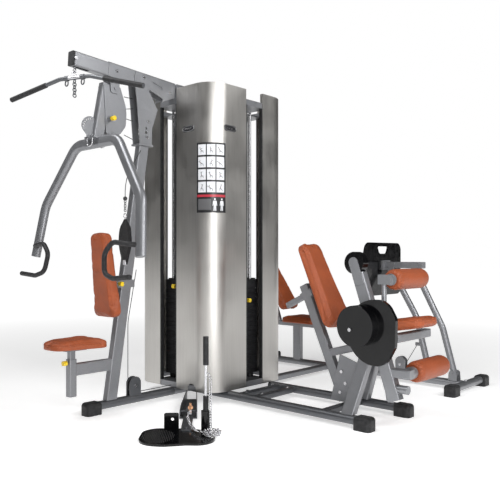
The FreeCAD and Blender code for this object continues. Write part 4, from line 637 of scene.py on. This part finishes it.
def make_pads():
    lean_back = (math.cos(math.radians(26)), 0, math.sin(math.radians(26)))
    pads = {
        "press_seat": Pad("press_seat_cushion", "press_seat_pad", "press_seat", (0, 0, 1), 0.011),
        "press_back": Pad("press_back_cushion", "press_back_pad", "press_back", (0, -1, 0), 0.011),
        "leg_seat": Pad("leg_seat_cushion", "leg_seat_pad", "frame", (0, 0, 1), 0.011),
        "leg_back": Pad("leg_back_cushion", "leg_back_pad", "leg_back", lean_back, 0.012),
        "legpress_seat": Pad("legpress_seat_cushion", "legpress_seat_pad", "frame", (0, 0, 1), 0.011),
        "legpress_back": Pad("legpress_back_cushion", "legpress_back_pad", "frame", lean_back, 0.012),
        "shin": Pad("shin_cushion", "shin_roller", "shin_pad", (0, 1, 0), 0.006),
        "thigh": Pad("thigh_cushion", "thigh_roller", "thigh_pad", (0, 1, 0), 0.006),
        "strap": Pad("strap_web", "ab_strap", "hanging_strap", (0, -1, 0), 0.004, STRAP, "strap_web", 0.0035,
                     strap_blank()),
    }
    for step in range(1, FRAMES + 1):
        scene.frame_set(step)
    for pad in pads.values():
        pad.settle()
    return pads


# ---- fittings that only have looks ----

def circle(centre, radius, first, second, count=20):
    """Points round a circle in the plane of two directions."""
    return [Vector(centre) + (Vector(first) * math.cos(math.tau * step / count)
                              + Vector(second) * math.sin(math.tau * step / count)) * radius
            for step in range(count)]


def make_strap_fittings():
    """The strap's chrome ring, a binding round its edge and a pale tag in the white card finish."""
    low, high = (Vector(corner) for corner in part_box("ab_strap"))
    middle = (low + high) / 2
    ring = circle((middle.x, middle.y, high.z - 0.018), 0.015, X_AXIS, Z_AXIS)
    new_piece("strap_ring", tube_mesh("strap_ring", [ring], 0.003, closed=True), CHROME, "hanging_strap")
    blank = points_of(strap_blank())
    rim = blank[:len(blank) // 2] * np.array([1, 0, 1]) + np.array([0, low.y + 0.001, 0])
    centre = rim.mean(0)
    rim = resampled(centre + (rim - centre) * np.array([0.86, 1, 0.93]), 0.006)
    binding = tube_mesh("strap_binding", [rim], 0.0016, closed=True)
    new_piece("strap_binding", binding, RUBBER, "hanging_strap")
    tag = bmesh.new()
    bmesh.ops.create_cube(tag, size=1.0)
    bmesh.ops.scale(tag, vec=(0.03, high.y - low.y + 0.003, 0.034), verts=tag.verts[:])
    bmesh.ops.translate(tag, vec=(middle.x, middle.y, low.z + 0.019), verts=tag.verts[:])
    bmesh.ops.bevel(tag, geom=tag.edges[:], offset=0.003, segments=3, affect="EDGES")
    mesh = bpy.data.meshes.new("strap_tag")
    tag.to_mesh(mesh)
    tag.free()
    new_piece("strap_tag", mesh, CARD, "hanging_strap")


COVER_CORNER = 0.145    # radius of the front cover's rounded corner
CARD_THICK = 0.003


class Placard:
    """Prints on the picture placard, which wraps the front cover's corner. Places on it are (along, up) in
    metres from its lower left corner, and each print stands a hair above the card."""

    def __init__(self):
        panel_low = Vector(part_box("info_panels")[0])
        cover_low, cover_high = (Vector(corner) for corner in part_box("cover_front"))
        self.radius = COVER_CORNER + CARD_THICK
        self.axis = Vector((cover_high.x - COVER_CORNER, cover_low.y + COVER_CORNER, panel_low.z))
        self.start, self.wide, self.tall = math.radians(-86), self.radius * math.radians(82), 0.472
        self.prints = {"ink": bmesh.new(), "card": bmesh.new(), "red": bmesh.new(), "grey": bmesh.new()}

    def at(self, along, up, lift):
        turn = self.start + along / self.radius
        reach = self.radius + lift
        return self.axis + Vector((reach * math.cos(turn), reach * math.sin(turn), up))

    def patch(self, ink, low, high, lift=0.0006):
        """A rectangle that follows the card's curve."""
        steps = max(1, int((high[0] - low[0]) / 0.005))
        sheet = self.prints[ink]
        pairs = []
        for step in range(steps + 1):
            along = low[0] + (high[0] - low[0]) * step / steps
            pairs.append([sheet.verts.new(self.at(along, up, lift)) for up in (low[1], high[1])])
        for one, two in zip(pairs, pairs[1:]):
            sheet.faces.new((one[0], two[0], two[1], one[1]))

    def stroke(self, ink, start, end, wide, lift=0.0009):
        """A thin bar between two places."""
        start, end = Vector(start), Vector(end)
        side = (end - start).orthogonal().normalized() * wide / 2
        corners = [start + side, start - side, end - side, end + side]
        self.prints[ink].faces.new([self.prints[ink].verts.new(self.at(*corner, lift)) for corner in corners])

    def dot(self, ink, place, radius, lift=0.0009):
        turns = [math.tau * step / 10 for step in range(10)]
        rim = [(place[0] + radius * math.cos(turn), place[1] + radius * math.sin(turn)) for turn in turns]
        self.prints[ink].faces.new([self.prints[ink].verts.new(self.at(*point, lift)) for point in rim])

    def figure(self, place, size, pose, ink="ink"):
        """A small plain figure on a bench or at a bar, with its worked muscle in red."""
        hip = Vector(place)
        lean = math.radians(90 + (28, -18, 8, 55)[pose % 4])
        chest = hip + Vector((math.cos(lean), math.sin(lean))) * size * 0.42
        head = chest + Vector((math.cos(lean), math.sin(lean))) * size * 0.2
        reach = math.radians((15, 62, -25, 80, 110)[pose % 5])
        hand = chest + Vector((math.cos(reach), math.sin(reach))) * size * 0.38
        knee = hip + Vector((size * 0.3, (-0.02, -0.16)[pose % 2] * size))
        foot = knee + Vector(((0.04, 0.16, -0.03)[pose % 3] * size, -size * 0.34))
        self.dot(ink, head, size * 0.085)
        for one, two, wide in ((hip, chest, 0.11), (chest, hand, 0.06), (hip, knee, 0.09), (knee, foot, 0.07)):
            self.stroke(ink, one, two, wide * size)
        for start, end in (((-0.22, -0.08), (0.2, -0.08)), ((-0.1, -0.1), (-0.1, -0.45))):
            self.stroke("grey", hip + Vector(start) * size, hip + Vector(end) * size, 0.05 * size)
        self.dot("red", (chest + hip) / 2, size * 0.045, 0.0012)

    def fill(self):
        margin, gap, rows, columns = 0.0125, 0.0105, 4, 3
        cell_wide = (self.wide - 2 * margin - (columns - 1) * gap * 0.7) / columns
        row_pitch, cell_tall = 0.084, 0.0715
        for row in range(rows):
            top = self.tall - margin - row * row_pitch
            for column in range(columns):
                left = margin + column * (cell_wide + gap * 0.7)
                self.patch("card", (left, top - cell_tall), (left + cell_wide, top))
                pose = row * 3 + column * 2
                self.figure((left + cell_wide * 0.46, top - cell_tall * 0.62), cell_wide * 0.66, pose)
        self.patch("red", (0.003, 0.105), (self.wide - 0.003, 0.121))
        self.patch("grey", (margin, 0.018), (self.wide * 0.5, 0.092))
        for share in (0.62, 0.85):
            foot = Vector((self.wide * share, 0.012))
            for side in (-1, 1):
                for low, high, wide in (((0.006, 0), (0.004, 0.04), 0.007), ((0.013, 0.034), (0.009, 0.066), 0.005)):
                    self.stroke("card", foot + Vector((side * low[0], low[1])),
                                foot + Vector((side * high[0], high[1])), wide)
            self.stroke("card", foot + Vector((0, 0.036)), foot + Vector((0, 0.068)), 0.016)
            self.dot("card", foot + Vector((0, 0.078)), 0.006)
        for ink, finish in (("ink", INK), ("card", CARD), ("red", RED), ("grey", GREY)):
            mesh = bpy.data.meshes.new("placard_" + ink)
            self.prints[ink].to_mesh(mesh)
            self.prints[ink].free()
            new_piece("placard_" + ink, mesh, finish, "frame")


def make_badge_rims():
    """A bright oval rim and a plain bar on each of the two badges."""
    low, high = (Vector(corner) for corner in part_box("info_panels"))
    half, tall = 0.055, 0.018
    badges = (("badge_left", (low.x + 0.058, low.y, high.z - 0.021), X_AXIS, -Y_AXIS),
              ("badge_right", (high.x, high.y - 0.058, high.z - 0.021), Y_AXIS, X_AXIS))
    for name, centre, way, out in badges:
        middle = Vector(centre) + out * 0.0004
        rim = [middle + way * half * math.copysign(abs(math.cos(turn)) ** 0.75, math.cos(turn))
               + Z_AXIS * tall * math.sin(turn)
               for turn in (math.tau * step / 48 for step in range(48))]
        new_piece(name + "_rim", tube_mesh(name + "_rim", [rim], 0.0016, closed=True), CHROME, "frame")
        bars = [[middle + way * at - Z_AXIS * slope, middle + way * (at + 0.016) + Z_AXIS * slope]
                for at, slope in ((-0.036, 0.006), (-0.014, 0.004), (0.01, 0.006))]
        new_piece(name + "_bars", tube_mesh(name + "_bars", bars, 0.0022), CHROME, "frame")


def make_tread():
    """Rows of small raised studs on the platform's left lobe, where a foot stands."""
    low, high = (Vector(corner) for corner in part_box("foot_platform"))
    out, right = Vector((1, -1, 0)).normalized(), Vector((1, 1, 0)).normalized()
    centre = Vector(((low.x + high.x) / 2, (low.y + high.y) / 2, 0.012)) - right * 0.1
    studs = bmesh.new()
    for row in range(-14, 15):
        for column in range(-10, 11):
            along, side = (row + 0.5 * (column % 2)) * 0.0105, column * 0.0095
            if (along / 0.13) ** 2 + (side / 0.088) ** 2 > 1:
                continue
            place = centre + out * along + right * side
            rim = [studs.verts.new(place + (out * 0.0042 * math.cos(turn) + right * 0.0026 * math.sin(turn)))
                   for turn in (math.tau * step / 6 for step in range(6))]
            tip = studs.verts.new(place + Z_AXIS * 0.0022)
            for step in range(6):
                studs.faces.new((rim[step], rim[(step + 1) % 6], tip))
    mesh = bpy.data.meshes.new("platform_tread")
    studs.to_mesh(mesh)
    studs.free()
    mesh.shade_smooth()
    new_piece("platform_tread", mesh, RUBBER, "frame")


def dress_fittings():
    """Bare metal, copper and dark parts of nodes that are mostly one finish."""
    for pin in ("seat_pin", "back_pin"):
        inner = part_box(pin)[0][1] + 0.0262
        repaint(pin, CHROME, lambda point: point.y > inner)
    arm_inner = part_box("arm_pin")
    repaint("arm_pin", CHROME, lambda point: point.x < arm_inner[0][0] + 0.0135)
    for pin in ("press_pin", "leg_pin", "legpress_pin", "row_pin"):
        low, high = (Vector(corner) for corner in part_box(pin))
        middle = (low + high) / 2
        way = 0 if high.x - low.x > high.y - low.y else 1
        face = low[way] + 0.0245 if abs(low[way]) > abs(high[way]) else high[way] - 0.0245
        repaint(pin, CHROME, lambda point: (abs(point[way]) < abs(face)))
    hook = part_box("lat_bar")[1][2] - 0.075
    repaint("lat_bar", DARK, lambda point: abs(point.x) > 0.03 or point.z < hook)
    repaint("press_arm", CHROME, lambda point: 1.672 < point.z < 1.7345 and abs(point.x) < 0.036
            and min(abs(point.y + 1.07), abs(point.y + 0.976)) < 0.0075)
    swivel = Vector((0.5695, -0.7397, 0.09))
    repaint("row_chain", COPPER, lambda point: (point - swivel).length < 0.034)
    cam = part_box("leg_cam_cover")[0][1]
    repaint("leg_cam_cover", CHROME, lambda point: point.y < cam + 0.0088)


dress_nodes()
dress_fittings()
make_studio()
make_camera()
pads = make_pads()
for label, body in (("press_seat", "press_seat"), ("press_back", "press_back"), ("leg_seat", "frame"),
                    ("leg_back", "leg_back"), ("legpress_seat", "frame"), ("legpress_back", "frame")):
    add_seam(pads[label], body)
for label in ("shin", "thigh"):
    gather_ends(pads[label])
make_strap_fittings()
placard = Placard()
placard.fill()
make_badge_rims()
make_tread()
